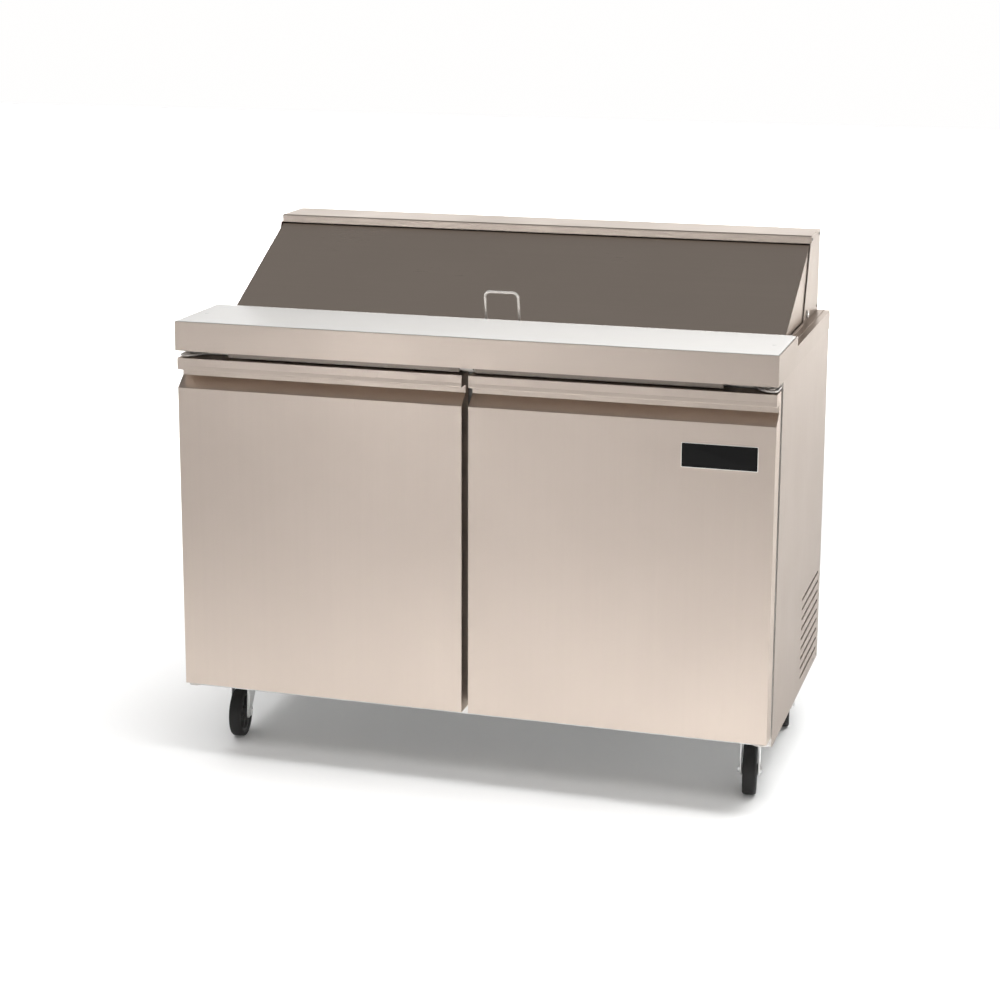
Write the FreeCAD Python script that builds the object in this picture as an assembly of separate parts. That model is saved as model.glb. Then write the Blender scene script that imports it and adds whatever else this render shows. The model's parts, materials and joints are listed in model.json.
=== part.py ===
import FreeCAD, Part
import math
import os

# Sandwich prep table: a refrigerated two-door cabinet on casters, with a
# cutting board along the front, two rows of food pans behind it and a sloped
# insulated lid that swings back into a fixed hood.
#
# Frame: millimetres, +Z up, +X to the right seen from the front, +Y to the
# rear. The origin is on the floor, under the middle of the bounding box.

V = FreeCAD.Vector

# ---------------------------------------------------------------- dimensions
WIDTH = 1225.0                 # cabinet, over the worktop's side returns
BODY_DEPTH = 650.0             # front apron to the rear of the worktop
GRILLE_DEPTH = 15.2            # rear grille, from the back panel outwards
SHEET = 1.2                    # stainless sheet
PANEL = 1.5                    # heavier sheet of the outer panels
FIT = 0.3                      # clearance between pieces that move

BASE_Z = 133.0                 # underside of the cabinet
APRON_BOTTOM = 864.0
TRAY_TOP = 912.0               # sheet that the cutting board rests on
DECK_TOP = 903.0               # worktop behind the cutting board
STEP_DEPTH = 216.0             # where the worktop steps down to the deck

BOARD_THICK = 12.7
BOARD_REAR = 212.0
BOARD_GAP = 0.8                # from the board to the rim round its tray
BOARD_TOP = TRAY_TOP + BOARD_THICK
APRON_TOP = BOARD_TOP - 1.0

DOOR_FRONT = 4.0               # depths are measured back from the apron
DOOR_THICK = 45.0
DOOR_BOTTOM = 157.0
DOOR_TOP = 849.0
DOOR_OUTER_X = 610.0
DOOR_INNER_X = 7.0
FRAME_DEPTH = 62.0             # face that the door gaskets close on
SCOOP_LIP = 24.5               # height of the grip lip above the recess
SCOOP_BACK = 40.0              # bottom of the recess's upright wall
SCOOP_END = 62.0               # where the recess meets the door's front again
SCOOP_RECESS = 27.0
HINGE_X = 597.0
HINGE_DEPTH = 24.0
HINGE_PIN_R = 4.0

OPENING_X = 562.0              # door openings in the front frame
OPENING_BOTTOM = 183.0
OPENING_TOP = 823.0
MULLION_X = 30.0

LINER_X = 564.0
LINER_REAR = 590.0
LINER_CEILING = 862.0
LINER_STEP_DEPTH = 365.0
LINER_STEP_TOP = 375.0
MACHINE_FRONT = 400.0
MACHINE_TOP = 340.0

WELL_X = 535.0                 # pan opening in the deck
WELL_FRONT = 240.0
WELL_REAR = 570.0
PAN_COLUMNS = 6
PAN_DEPTH = 100.0
PAN_RIM_Z = 899.0

HOOD_X = 586.0
HOOD_TOP = 1077.0
HOOD_FRONT = 527.0
HOOD_REAR = 647.0
HOOD_LIP_BOTTOM = 1060.5
CHEEK_FOOT = 450.0             # front of the hood's side cheeks on the deck
LID_X = 583.5
LID_BOTTOM = DECK_TOP + 2.5
LID_NOSE = 228.0               # depth of the lid's front bottom edge
LID_CREST = 522.0              # depth of the lid's top edge
LID_CREST_Z = 1058.0
LID_THICK = 26.0
PIVOT_DEPTH = 500.0
PIVOT_Z = 918.0
PIVOT_R = 4.0

WHEEL_R = 51.0
WHEEL_WIDE = 28.0
HUB_WIDE = 32.0
CASTER_X = 552.0
CASTER_FRONT = 172.0
CASTER_REAR = 578.0
CASTER_TRAIL = 30.0
CASTER_TURN = 8.0              # degrees that the casters are swivelled at rest

HEM_REAR = 20.0                # the apron's bottom hem, from the front
STRIP_X0 = 16.0                # closing strips between the hinge brackets
STRIP_X1 = 505.0
GRILLE_X = 575.0
GRILLE_LOW = 142.0
GRILLE_HIGH = 345.0
BADGE_X0 = 430.0               # blank plate on the right door
BADGE_X1 = 578.0
BADGE_LOW = 698.0
BADGE_HIGH = 747.0
BADGE_THICK = 1.5
SHELF_Z = 500.0                # middle of the shelf's carrier rods

HALF = WIDTH / 2
REAR_PANEL = BODY_DEPTH - SHEET
TOTAL_DEPTH = REAR_PANEL + GRILLE_DEPTH
FRONT_Y = -TOTAL_DEPTH / 2
PANEL_X = HALF - SHEET         # outer face of the side panels
INNER_X = PANEL_X - PANEL      # inner face of the side panels


# ------------------------------------------------------------------- helpers
def at(depth):
    """The Y of a place so far back from the front of the apron."""
    return FRONT_Y + depth


def block(x0, x1, d0, d1, z0, z1):
    """A box between two widths, two depths and two heights."""
    return Part.makeBox(x1 - x0, d1 - d0, z1 - z0, V(x0, at(d0), z0))


def wide(half_x, d0, d1, z0, z1):
    """A box centred across the cabinet."""
    return block(-half_x, half_x, d0, d1, z0, z1)


def side_prism(outline, x0, x1):
    """An outline of (depth, height) points, extruded along X."""
    points = [V(x0, at(d), z) for d, z in outline]
    return Part.Face(Part.makePolygon(points + points[:1])).extrude(V(x1 - x0, 0, 0))


def plan_prism(outline, z0, z1):
    """An outline of (x, depth) points, extruded upwards."""
    points = [V(x, at(d), z0) for x, d in outline]
    return Part.Face(Part.makePolygon(points + points[:1])).extrude(V(0, 0, z1 - z0))


def front_prism(outline, d0, d1):
    """An outline of (x, height) points, extruded towards the rear."""
    points = [V(x, at(d0), z) for x, z in outline]
    return Part.Face(Part.makePolygon(points + points[:1])).extrude(V(0, d1 - d0, 0))


def rod(start, end, radius):
    """A round bar between two points."""
    line = end.sub(start)
    return Part.makeCylinder(radius, line.Length, start, line)


def place(x, depth, z):
    return V(x, at(depth), z)


def mirrored(shape):
    return shape.mirror(V(0, 0, 0), V(1, 0, 0))


def group(shapes):
    return Part.makeCompound(shapes)


def join(shapes):
    return shapes[0].multiFuse(shapes[1:]).removeSplitter()


def carve(shape, tools):
    return shape.cut(group(tools))


def rounded(shape, radius, wanted):
    """Fillet the straight edges whose midpoint passes a test."""
    edges = [e for e in shape.Edges if wanted(e.CenterOfMass, e)]
    return shape.makeFillet(radius, edges)


def save(node, shape):
    shape.exportStep("parts/" + node + ".step")


# ------------------------------------------------------------- outer cabinet
def make_side_panel():
    return block(INNER_X, PANEL_X, FRAME_DEPTH, REAR_PANEL, BASE_Z, DECK_TOP - SHEET)


def make_louvres(panel):
    """Nine pressed louvres beside the machine compartment."""
    first_z = 158.0
    pitch = 21.5
    slot_high = 6.0
    front = 402.0
    rear = 622.0
    blade_in = 9.0
    slots = []
    blades = []
    for row in range(9):
        z = first_z + row * pitch
        slots.append(block(INNER_X - 1, PANEL_X + 1, front, rear, z, z + slot_high))
        outline = [
            (INNER_X, z + slot_high + 1.0),
            (PANEL_X, z + slot_high),
            (INNER_X - blade_in, z - 3.0),
            (INNER_X - blade_in, z - 1.6),
        ]
        blades.append(front_prism(outline, front, rear))
    return join([carve(panel, slots)] + blades)


def make_back_panel():
    """Rear sheet with a window behind the grille for the machine's air."""
    sheet = wide(INNER_X, REAR_PANEL - PANEL, REAR_PANEL, BASE_Z + PANEL, DECK_TOP - SHEET)
    rim = 20.0
    window = wide(GRILLE_X - rim, REAR_PANEL - PANEL - 1, REAR_PANEL + 1,
                  GRILLE_LOW + rim / 2, GRILLE_HIGH - 0.75 * rim)
    return sheet.cut(window)


def make_base_pan():
    return wide(INNER_X, FRAME_DEPTH, REAR_PANEL, BASE_Z, BASE_Z + PANEL)


def folded_worktop():
    """Board tray, step down to the deck, side returns and rear return."""
    def outline(edge, floor):
        return [
            (edge, floor),
            (edge, TRAY_TOP - edge),
            (STEP_DEPTH - edge, TRAY_TOP - edge),
            (STEP_DEPTH - edge, DECK_TOP - edge),
            (BODY_DEPTH - edge, DECK_TOP - edge),
            (BODY_DEPTH - edge, floor),
        ]

    outer = side_prism(outline(0, APRON_BOTTOM), -HALF, HALF)
    inner = side_prism(outline(SHEET, APRON_BOTTOM - 1), -HALF + SHEET, HALF - SHEET)
    well = wide(WELL_X, WELL_FRONT, WELL_REAR, APRON_BOTTOM, TRAY_TOP)
    front = wide(HALF, 0, SHEET, APRON_BOTTOM, TRAY_TOP)
    side = block(HALF - SHEET, HALF, 0, STEP_DEPTH, APRON_BOTTOM, TRAY_TOP)
    return carve(outer.cut(inner), [well, front, side, mirrored(side)])


def make_worktop():
    """The folded top with its apron, side fronts, hem and closing strips.

    The apron and the side fronts stand up as a rim round the board's tray. The
    strips close the gap between the apron's hem and the doors.
    """
    soft = 1.0
    apron = wide(HALF, 0, SHEET, APRON_BOTTOM, APRON_TOP)

    def outer_edge(mid, edge):
        front = abs(mid.y - FRONT_Y) < 0.1
        return front and (abs(mid.z - APRON_TOP) < 0.1 or abs(abs(mid.x) - HALF) < 0.1)

    apron = rounded(apron, soft, outer_edge)
    side = block(HALF - SHEET, HALF, SHEET, STEP_DEPTH, APRON_BOTTOM, APRON_TOP)
    hem = wide(HALF - SHEET, SHEET, HEM_REAR, APRON_BOTTOM, APRON_BOTTOM + SHEET)
    strip = block(STRIP_X0, STRIP_X1, HEM_REAR, HEM_REAR + SHEET,
                  DOOR_TOP + 2.5, APRON_BOTTOM + SHEET)
    return group([folded_worktop(), apron, side, mirrored(side), hem, strip, mirrored(strip)])


def make_front_frame():
    sheet = wide(INNER_X, FRAME_DEPTH, FRAME_DEPTH + PANEL, BASE_Z + PANEL, TRAY_TOP - SHEET)
    holes = []
    for side in (-1, 1):
        x0, x1 = sorted((side * MULLION_X, side * OPENING_X))
        holes.append(block(x0, x1, FRAME_DEPTH - 1, FRAME_DEPTH + PANEL + 1,
                           OPENING_BOTTOM, OPENING_TOP))
    return carve(sheet, holes)


def liner_solid(grow, front):
    """The space inside the liner, grown outwards by a skin thickness."""
    outline = [
        (front, OPENING_BOTTOM - grow),
        (LINER_STEP_DEPTH + grow, OPENING_BOTTOM - grow),
        (LINER_STEP_DEPTH + grow, LINER_STEP_TOP - grow),
        (LINER_REAR + grow, LINER_STEP_TOP - grow),
        (LINER_REAR + grow, LINER_CEILING + grow),
        (front, LINER_CEILING + grow),
    ]
    room = side_prism(outline, -LINER_X - grow, LINER_X + grow)
    top = DECK_TOP - SHEET if grow else DECK_TOP
    collar = wide(WELL_X + 1 + grow, WELL_FRONT - 1 - grow, WELL_REAR + 1 + grow,
                  LINER_CEILING - 5, top)
    return room.fuse(collar)


def make_inner_liner():
    front = FRAME_DEPTH + PANEL
    return liner_solid(SHEET, front).cut(liner_solid(0, front - 1))


def make_foam_insulation():
    front = FRAME_DEPTH + PANEL
    slab = wide(INNER_X, front, REAR_PANEL - PANEL, BASE_Z + PANEL, DECK_TOP - SHEET)
    machine = wide(INNER_X, MACHINE_FRONT, REAR_PANEL, BASE_Z, MACHINE_TOP)
    return carve(slab, [liner_solid(SHEET, front - 1), machine]).removeSplitter()


def make_centre_mullion():
    front = FRAME_DEPTH + PANEL
    post = wide(MULLION_X, front, front + 58, OPENING_BOTTOM, LINER_CEILING)
    hollow = wide(MULLION_X - SHEET, front + SHEET, front + 58 - SHEET,
                  OPENING_BOTTOM, LINER_CEILING)
    return post.cut(hollow)


def make_rear_grille():
    """Shallow sheet box over the machine compartment, with rows of slots."""
    face = wide(GRILLE_X, REAR_PANEL, TOTAL_DEPTH, GRILLE_LOW, GRILLE_HIGH)
    hollow = wide(GRILLE_X - SHEET, REAR_PANEL - 1, TOTAL_DEPTH - SHEET,
                  GRILLE_LOW + SHEET, GRILLE_HIGH - SHEET)
    slot_long = 200.0
    slot_high = 7.0
    slots = []
    for column in range(5):
        x = -540 + column * (slot_long + 18)
        for row in range(9):
            z = GRILLE_LOW + 18 + row * 19.5
            slots.append(block(x, x + slot_long, TOTAL_DEPTH - 5, TOTAL_DEPTH + 1,
                               z, z + slot_high))
    return carve(face.cut(hollow), slots)


def make_controller():
    """Temperature controller with a raised bezel round a display window."""
    middle = 370.0
    face = REAR_PANEL + 10
    body = block(-560, -480, REAR_PANEL, face, middle - 18, middle + 18)
    bezel = block(-562, -478, face, face + 3, middle - 20, middle + 20)
    window = block(-552, -512, face + 2, face + 4, middle - 12, middle + 12)
    keys = [rod(place(x, face + 2, middle), place(x, face + 4.5, middle), 4.0)
            for x in (-502, -488)]
    return join([body, bezel.cut(window)] + keys)


def make_cable_gland():
    """Strain relief that the mains cord leaves by."""
    x, z = -592.0, 250.0
    nut_r, neck_r, cord_r = 13.0, 9.0, 4.5
    nut = rod(place(x, REAR_PANEL, z), place(x, REAR_PANEL + 5, z), nut_r)
    neck = rod(place(x, REAR_PANEL + 5, z), place(x, REAR_PANEL + 13, z), neck_r)
    hole = rod(place(x, REAR_PANEL, z), place(x, REAR_PANEL + 14, z), cord_r)
    return join([nut, neck]).cut(hole)


# ----------------------------------------------------------------- board, pans
def make_cutting_board():
    """White board across the front, located by a stud near each end."""
    stud_x, stud_depth, stud_r = 585.0, 100.0, 4.0
    side_x = HALF - SHEET - BOARD_GAP
    front = SHEET + BOARD_GAP
    board = wide(side_x, front, BOARD_REAR, TRAY_TOP, BOARD_TOP)
    upright = [e for e in board.Edges if abs(e.Vertexes[0].Z - e.Vertexes[1].Z) > 1]
    rear = [e for e in upright if e.CenterOfMass.y > at(BOARD_REAR / 2)]
    board = board.makeFillet(12, rear)
    board = rounded(board, 0.9, lambda mid, edge: mid.z > BOARD_TOP - 0.1)
    studs = [rod(place(s * stud_x, stud_depth, BOARD_TOP - 1.5),
                 place(s * stud_x, stud_depth, BOARD_TOP + 1), stud_r) for s in (-1, 1)]
    return carve(board, studs)


def make_pan_rails():
    """A ledge round the pan opening with bars between the pans."""
    low = PAN_RIM_Z - 6
    rib = 4.0
    pitch_x = 2 * WELL_X / PAN_COLUMNS
    middle = (WELL_FRONT + WELL_REAR) / 2
    rails = [wide(WELL_X + 1, WELL_FRONT - 1, WELL_FRONT + rib, low, PAN_RIM_Z),
             wide(WELL_X + 1, middle - rib, middle + rib, low, PAN_RIM_Z),
             wide(WELL_X + 1, WELL_REAR - rib, WELL_REAR + 1, low, PAN_RIM_Z)]
    for front, rear in ((WELL_FRONT + rib, middle - rib), (middle + rib, WELL_REAR - rib)):
        for column in range(PAN_COLUMNS + 1):
            x = -WELL_X + column * pitch_x
            x0 = max(x - rib, -WELL_X - 1)
            x1 = min(x + rib, WELL_X + 1)
            rails.append(block(x0, x1, front, rear, low, PAN_RIM_Z))
    return group(rails)


def tub(long_x, long_y, corner, z):
    """A rounded rectangle as a closed wire, centred on the Z axis."""
    x = long_x / 2
    y = long_y / 2
    bend = corner * (1 - math.sqrt(0.5))
    edges = []
    corners = [(1, 1), (-1, 1), (-1, -1), (1, -1)]
    for index, (sx, sy) in enumerate(corners):
        across = V(sx * (x - corner), sy * y, z)
        down = V(sx * x, sy * (y - corner), z)
        middle = V(sx * (x - bend), sy * (y - bend), z)
        ends = (down, across) if sx * sy > 0 else (across, down)
        edges.append(Part.Arc(ends[0], middle, ends[1]).toShape())
        nx, ny = corners[(index + 1) % 4]
        if sy == ny:
            follow = V(nx * (x - corner), ny * y, z)
        else:
            follow = V(nx * x, ny * (y - corner), z)
        edges.append(Part.LineSegment(ends[1], follow).toShape())
    return Part.Wire(edges)


def make_pan():
    """One sixth-size food pan, its rim at height zero, hanging downwards.

    Each tub is its length, its width, its corner radius and its height.
    """
    gauge = 1.0
    outer = Part.makeLoft([tub(150, 136, 16, -PAN_DEPTH), tub(166, 152, 20, 0)], True)
    inner = Part.makeLoft([tub(148, 134, 15, gauge - PAN_DEPTH), tub(164, 150, 19, 0.01)], True)
    rim = Part.Face(tub(176.5, 163, 12, 0)).extrude(V(0, 0, gauge))
    mouth = Part.Face(tub(164, 150, 19, -0.5)).extrude(V(0, 0, 3))
    return outer.fuse(rim).cut(inner).cut(mouth).removeSplitter()


def make_pan_row(row):
    pitch_x = 2 * WELL_X / PAN_COLUMNS
    pitch_d = (WELL_REAR - WELL_FRONT) / 2
    pan = make_pan()
    pans = []
    for column in range(PAN_COLUMNS):
        x = -WELL_X + (column + 0.5) * pitch_x
        copy = pan.copy()
        copy.translate(place(x, WELL_FRONT + (row + 0.5) * pitch_d, PAN_RIM_Z))
        pans.append(copy)
    return group(pans)


# ----------------------------------------------------------------- hood and lid
def make_hood_canopy():
    outer = side_prism([(HOOD_FRONT, DECK_TOP), (HOOD_FRONT, HOOD_TOP),
                        (HOOD_REAR, HOOD_TOP), (HOOD_REAR, DECK_TOP)], -HOOD_X, HOOD_X)
    outer = rounded(outer, 3.0, lambda mid, edge: mid.z > HOOD_TOP - 0.1 and abs(mid.x) < 1)
    inside = wide(HOOD_X - SHEET, HOOD_FRONT + SHEET, HOOD_REAR - SHEET,
                  DECK_TOP - 1, HOOD_TOP - SHEET)
    mouth = wide(HOOD_X - SHEET, HOOD_FRONT - 1, HOOD_FRONT + SHEET + 1,
                 DECK_TOP - 1, HOOD_LIP_BOTTOM)
    shell = carve(outer, [inside, mouth])
    cheek_top = HOOD_LIP_BOTTOM + 1.5
    cheek = side_prism([(CHEEK_FOOT, DECK_TOP), (HOOD_FRONT - 10, cheek_top),
                        (HOOD_FRONT, cheek_top),
                        (HOOD_FRONT, DECK_TOP)], HOOD_X - SHEET, HOOD_X)
    bore = rod(place(-HOOD_X - 5, PIVOT_DEPTH, PIVOT_Z),
               place(HOOD_X + 5, PIVOT_DEPTH, PIVOT_Z), PIVOT_R)
    return join([shell, cheek, mirrored(cheek)]).cut(bore)


def make_hood_rails():
    """Angle rails that frame the hood and the lid on the deck."""
    foot = block(HOOD_X, HOOD_X + 14, LID_NOSE, HOOD_REAR, DECK_TOP, DECK_TOP + SHEET)
    upstand = block(HOOD_X, HOOD_X + SHEET, LID_NOSE, CHEEK_FOOT - 2, DECK_TOP, DECK_TOP + 6)
    rail = foot.fuse(upstand).removeSplitter()
    return group([rail, mirrored(rail)])


def make_hood_pins():
    y = PIVOT_DEPTH
    shank = rod(place(LID_X - 12, y, PIVOT_Z), place(HOOD_X, y, PIVOT_Z), PIVOT_R)
    head = rod(place(HOOD_X, y, PIVOT_Z), place(HOOD_X + 3, y, PIVOT_Z), 8)
    pin = join([shank, head])
    return group([pin, mirrored(pin)])


LID_RUN = LID_CREST - LID_NOSE
LID_RISE = LID_CREST_Z - LID_BOTTOM
LID_ANGLE = math.atan2(LID_RISE, LID_RUN)


def lid_outline(edge):
    """The insulated panel's section, shrunk by a skin thickness."""
    sin = math.sin(LID_ANGLE)
    cos = math.cos(LID_ANGLE)
    low = LID_BOTTOM + edge
    nose = (LID_NOSE + edge / math.tan(LID_ANGLE / 2), low)
    crest = (LID_CREST + edge * sin - edge * cos, LID_CREST_Z - edge * cos - edge * sin)
    inner = LID_THICK - 2 * edge
    back = (crest[0] + inner * sin, crest[1] - inner * cos)
    run = (back[1] - low) / math.tan(LID_ANGLE)
    heel = (back[0] - run, low)
    return [nose, crest, back, heel]


def lid_cheek():
    """One side plate of the lid, down to its pivot."""
    nose, crest, back, _ = lid_outline(0)
    boss = 12.5
    plate = side_prism([nose, crest, back, (PIVOT_DEPTH + boss, PIVOT_Z),
                        (PIVOT_DEPTH, LID_BOTTOM)], LID_X - SHEET, LID_X)
    round_end = rod(place(LID_X - SHEET, PIVOT_DEPTH, PIVOT_Z),
                    place(LID_X, PIVOT_DEPTH, PIVOT_Z), boss)
    bore = rod(place(LID_X - 5, PIVOT_DEPTH, PIVOT_Z),
               place(LID_X + 5, PIVOT_DEPTH, PIVOT_Z), PIVOT_R + 0.05)
    return join([plate, round_end]).cut(bore)


def make_lid_skin():
    """Face, top return and bottom return folded from one sheet, with cheeks."""
    solid = side_prism(lid_outline(0), -LID_X, LID_X)
    nose, crest, back, heel = lid_outline(SHEET)
    past = 20.0
    sin = math.sin(LID_ANGLE)
    cos = math.cos(LID_ANGLE)
    open_back = (back[0] + past * sin, back[1] - past * cos)
    open_heel = (heel[0] + past, heel[1])
    hollow = side_prism([nose, crest, open_back, open_heel], -LID_X + SHEET, LID_X - SHEET)
    cheek = lid_cheek()
    return join([solid.cut(hollow), cheek, mirrored(cheek)])


def make_lid_liner():
    outer = lid_outline(0)
    inner = lid_outline(SHEET)
    strip = [inner[2], outer[2], outer[3], inner[3]]
    sheet = side_prism(strip, -LID_X + SHEET, LID_X - SHEET)
    return sheet.cut(make_lid_skin())


def make_lid_foam():
    return side_prism(lid_outline(SHEET), -LID_X + SHEET, LID_X - SHEET)


def make_lid_handle():
    """A bent wire pull standing off the foot of the lid's face."""
    wire_r = 3.0
    middle_x = 8.0
    half_wide = 35.0
    bend = 12.0
    lean = math.radians(12)
    foot_depth = LID_NOSE + 12
    foot_z = LID_BOTTOM + 12 * math.tan(LID_ANGLE) - 3
    tall = 71.0

    def on_wire(x, up):
        return place(middle_x + x, foot_depth - up * math.sin(lean),
                     foot_z + up * math.cos(lean))

    short = bend * (1 - math.sqrt(0.5))
    path = Part.Wire([
        Part.LineSegment(on_wire(-half_wide, 0), on_wire(-half_wide, tall - bend)).toShape(),
        Part.Arc(on_wire(-half_wide, tall - bend), on_wire(-half_wide + short, tall - short),
                 on_wire(-half_wide + bend, tall)).toShape(),
        Part.LineSegment(on_wire(-half_wide + bend, tall),
                         on_wire(half_wide - bend, tall)).toShape(),
        Part.Arc(on_wire(half_wide - bend, tall), on_wire(half_wide - short, tall - short),
                 on_wire(half_wide, tall - bend)).toShape(),
        Part.LineSegment(on_wire(half_wide, tall - bend), on_wire(half_wide, 0)).toShape(),
    ])
    start = on_wire(-half_wide, 0)
    ring = Part.Circle(start, V(0, -math.sin(lean), math.cos(lean)), wire_r).toShape()
    wire = path.makePipeShell([Part.Wire([ring])], True, False)
    return wire.cut(side_prism(lid_outline(0), -LID_X, LID_X))


# ----------------------------------------------------------------------- doors
def door_outline(edge):
    """The door's section with its grip recess, shrunk by a skin thickness."""
    front = DOOR_FRONT + edge
    rear = DOOR_FRONT + DOOR_THICK
    recess = DOOR_FRONT + SCOOP_RECESS + edge
    return [
        (front, DOOR_BOTTOM + edge),
        (front, DOOR_TOP - SCOOP_END - edge * 0.6),
        (recess, DOOR_TOP - SCOOP_BACK - edge * 0.6),
        (recess, DOOR_TOP - SCOOP_LIP + edge),
        (front, DOOR_TOP - SCOOP_LIP + edge),
        (front, DOOR_TOP - edge),
        (rear, DOOR_TOP - edge),
        (rear, DOOR_BOTTOM + edge),
    ]


BUSH_R = 6.0
BUSH_LONG = 16.0
LINER_PLATE = 1.5


def bush_sockets(grow):
    sockets = []
    for z in (DOOR_TOP - BUSH_LONG, DOOR_BOTTOM - 1):
        low = place(HINGE_X, HINGE_DEPTH, z)
        sockets.append(rod(low, low + V(0, 0, BUSH_LONG + 1), BUSH_R + grow))
    return sockets


def make_door_skin():
    """Outer door pan with the full-width grip recess, open at the rear."""
    solid = side_prism(door_outline(0), DOOR_INNER_X, DOOR_OUTER_X)

    def soft_edge(mid, edge):
        along = abs(edge.Vertexes[0].X - edge.Vertexes[1].X) > 1
        on_front = abs(mid.y - at(DOOR_FRONT)) < 0.1
        return along and on_front

    solid = rounded(solid, 1.0, soft_edge)
    outline = door_outline(SHEET)
    open_rear = DOOR_FRONT + DOOR_THICK + 1
    outline[6] = (open_rear, outline[6][1])
    outline[7] = (open_rear, outline[7][1])
    hollow = side_prism(outline, DOOR_INNER_X + SHEET, DOOR_OUTER_X - SHEET)
    return carve(solid.cut(hollow), bush_sockets(0))


def make_door_foam():
    outline = door_outline(SHEET)
    rear = DOOR_FRONT + DOOR_THICK - LINER_PLATE
    outline[6] = (rear, outline[6][1])
    outline[7] = (rear, outline[7][1])
    core = side_prism(outline, DOOR_INNER_X + SHEET, DOOR_OUTER_X - SHEET)
    return join([carve(core, bush_sockets(0)), raised_panel(LINER_PLATE, rear)])


GASKET_INSET = 12.0
GASKET_WIDE = 14.0
RAISED_HIGH = 6.0
RAISED_INSET = GASKET_INSET + GASKET_WIDE + 8.0


def raised_panel(edge, front):
    """The step in the door's inner face, shrunk by a plate thickness."""
    inset = RAISED_INSET + edge
    return block(DOOR_INNER_X + inset, DOOR_OUTER_X - inset,
                 front, DOOR_FRONT + DOOR_THICK + RAISED_HIGH - edge,
                 DOOR_BOTTOM + inset, DOOR_TOP - inset)


def make_door_liner():
    """Inner door plate, pressed out to a raised panel inside the gasket."""
    rear = DOOR_FRONT + DOOR_THICK
    plate = block(DOOR_INNER_X + SHEET, DOOR_OUTER_X - SHEET, rear - LINER_PLATE, rear,
                  DOOR_BOTTOM + SHEET, DOOR_TOP - SHEET)
    raised = rounded(raised_panel(0, rear), 3.0,
                     lambda mid, e: abs(mid.y - at(rear + RAISED_HIGH)) < 0.1)
    return join([plate, raised]).cut(raised_panel(LINER_PLATE, rear - LINER_PLATE - 1))


def make_door_gasket():
    rear = DOOR_FRONT + DOOR_THICK
    far = FRAME_DEPTH - 0.5

    def frame(inset, d0, d1):
        return block(DOOR_INNER_X + inset, DOOR_OUTER_X - inset, d0, d1,
                     DOOR_BOTTOM + inset, DOOR_TOP - inset)

    foot = frame(GASKET_INSET, rear, rear + 5)
    bead = frame(GASKET_INSET + 1.5, rear + 5, far)
    bead = rounded(bead, 2.0, lambda mid, e: abs(mid.y - at(far)) < 0.1)
    hole = frame(GASKET_INSET + GASKET_WIDE, rear - 1, far + 1)
    return join([foot, bead]).cut(hole)


def make_door_bushes():
    """Nylon bushes that turn on the hinge pins."""
    top = place(HINGE_X, HINGE_DEPTH, DOOR_TOP - BUSH_LONG)
    low = place(HINGE_X, HINGE_DEPTH, DOOR_BOTTOM)
    bore_r = HINGE_PIN_R + 0.05
    upper = rod(top, top + V(0, 0, BUSH_LONG), BUSH_R)
    upper = upper.cut(rod(top + V(0, 0, 3), top + V(0, 0, BUSH_LONG + 1), bore_r))
    lower = rod(low, low + V(0, 0, BUSH_LONG), BUSH_R)
    lower = lower.cut(rod(low - V(0, 0, 1), low + V(0, 0, BUSH_LONG - 3), bore_r))
    return group([upper, lower])


def make_badge():
    """A blank nameplate, without a mark."""
    plate = block(BADGE_X0, BADGE_X1, DOOR_FRONT - BADGE_THICK, DOOR_FRONT,
                  BADGE_LOW, BADGE_HIGH)
    middle = at(DOOR_FRONT - BADGE_THICK / 2)
    return rounded(plate, 3.0, lambda mid, edge: abs(mid.y - middle) < 0.1)


BRACKET_X0 = 509.0             # ends of the hinge brackets' flange
BRACKET_X1 = 609.0
BRACKET_THICK = 4.0
UPPER_LEAF = DOOR_TOP + 2.0    # underside of the upper bracket's leaf
LOWER_LEAF = DOOR_BOTTOM - 6.5
PIN_REACH = 11.0               # how far a hinge pin goes into its door


def hinge_bracket(low, flange_z0, flange_z1):
    """A shaped leaf that holds the hinge pin, on a screwed flange."""
    high = low + BRACKET_THICK
    leaf = plan_prism([(BRACKET_X1, FRAME_DEPTH), (BRACKET_X1, 16), (602, 9), (590, 9),
                       (578, 18), (560, 44), (512, 50), (BRACKET_X0, 54),
                       (BRACKET_X0, FRAME_DEPTH)], low, high)
    flange = block(BRACKET_X0, BRACKET_X1, FRAME_DEPTH - 2.5, FRAME_DEPTH,
                   flange_z0, flange_z1)
    hole = rod(place(HINGE_X, HINGE_DEPTH, low - 1), place(HINGE_X, HINGE_DEPTH, high + 1),
               HINGE_PIN_R)
    return join([leaf, flange]).cut(hole)


def make_door_brackets():
    """Upper and lower hinge brackets and the stop bracket between the doors."""
    upper = hinge_bracket(UPPER_LEAF, UPPER_LEAF, UPPER_LEAF + 12)
    lower = hinge_bracket(LOWER_LEAF, BASE_Z + 4, LOWER_LEAF + BRACKET_THICK)
    arm_low = APRON_BOTTOM - 6
    arm = wide(13, 14, FRAME_DEPTH, arm_low, APRON_BOTTOM - 0.5)
    drop = wide(13, 30, 50, DOOR_TOP + 2.5, arm_low)
    stop = join([arm, drop])
    return group([upper, lower, mirrored(upper), mirrored(lower), stop])


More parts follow.
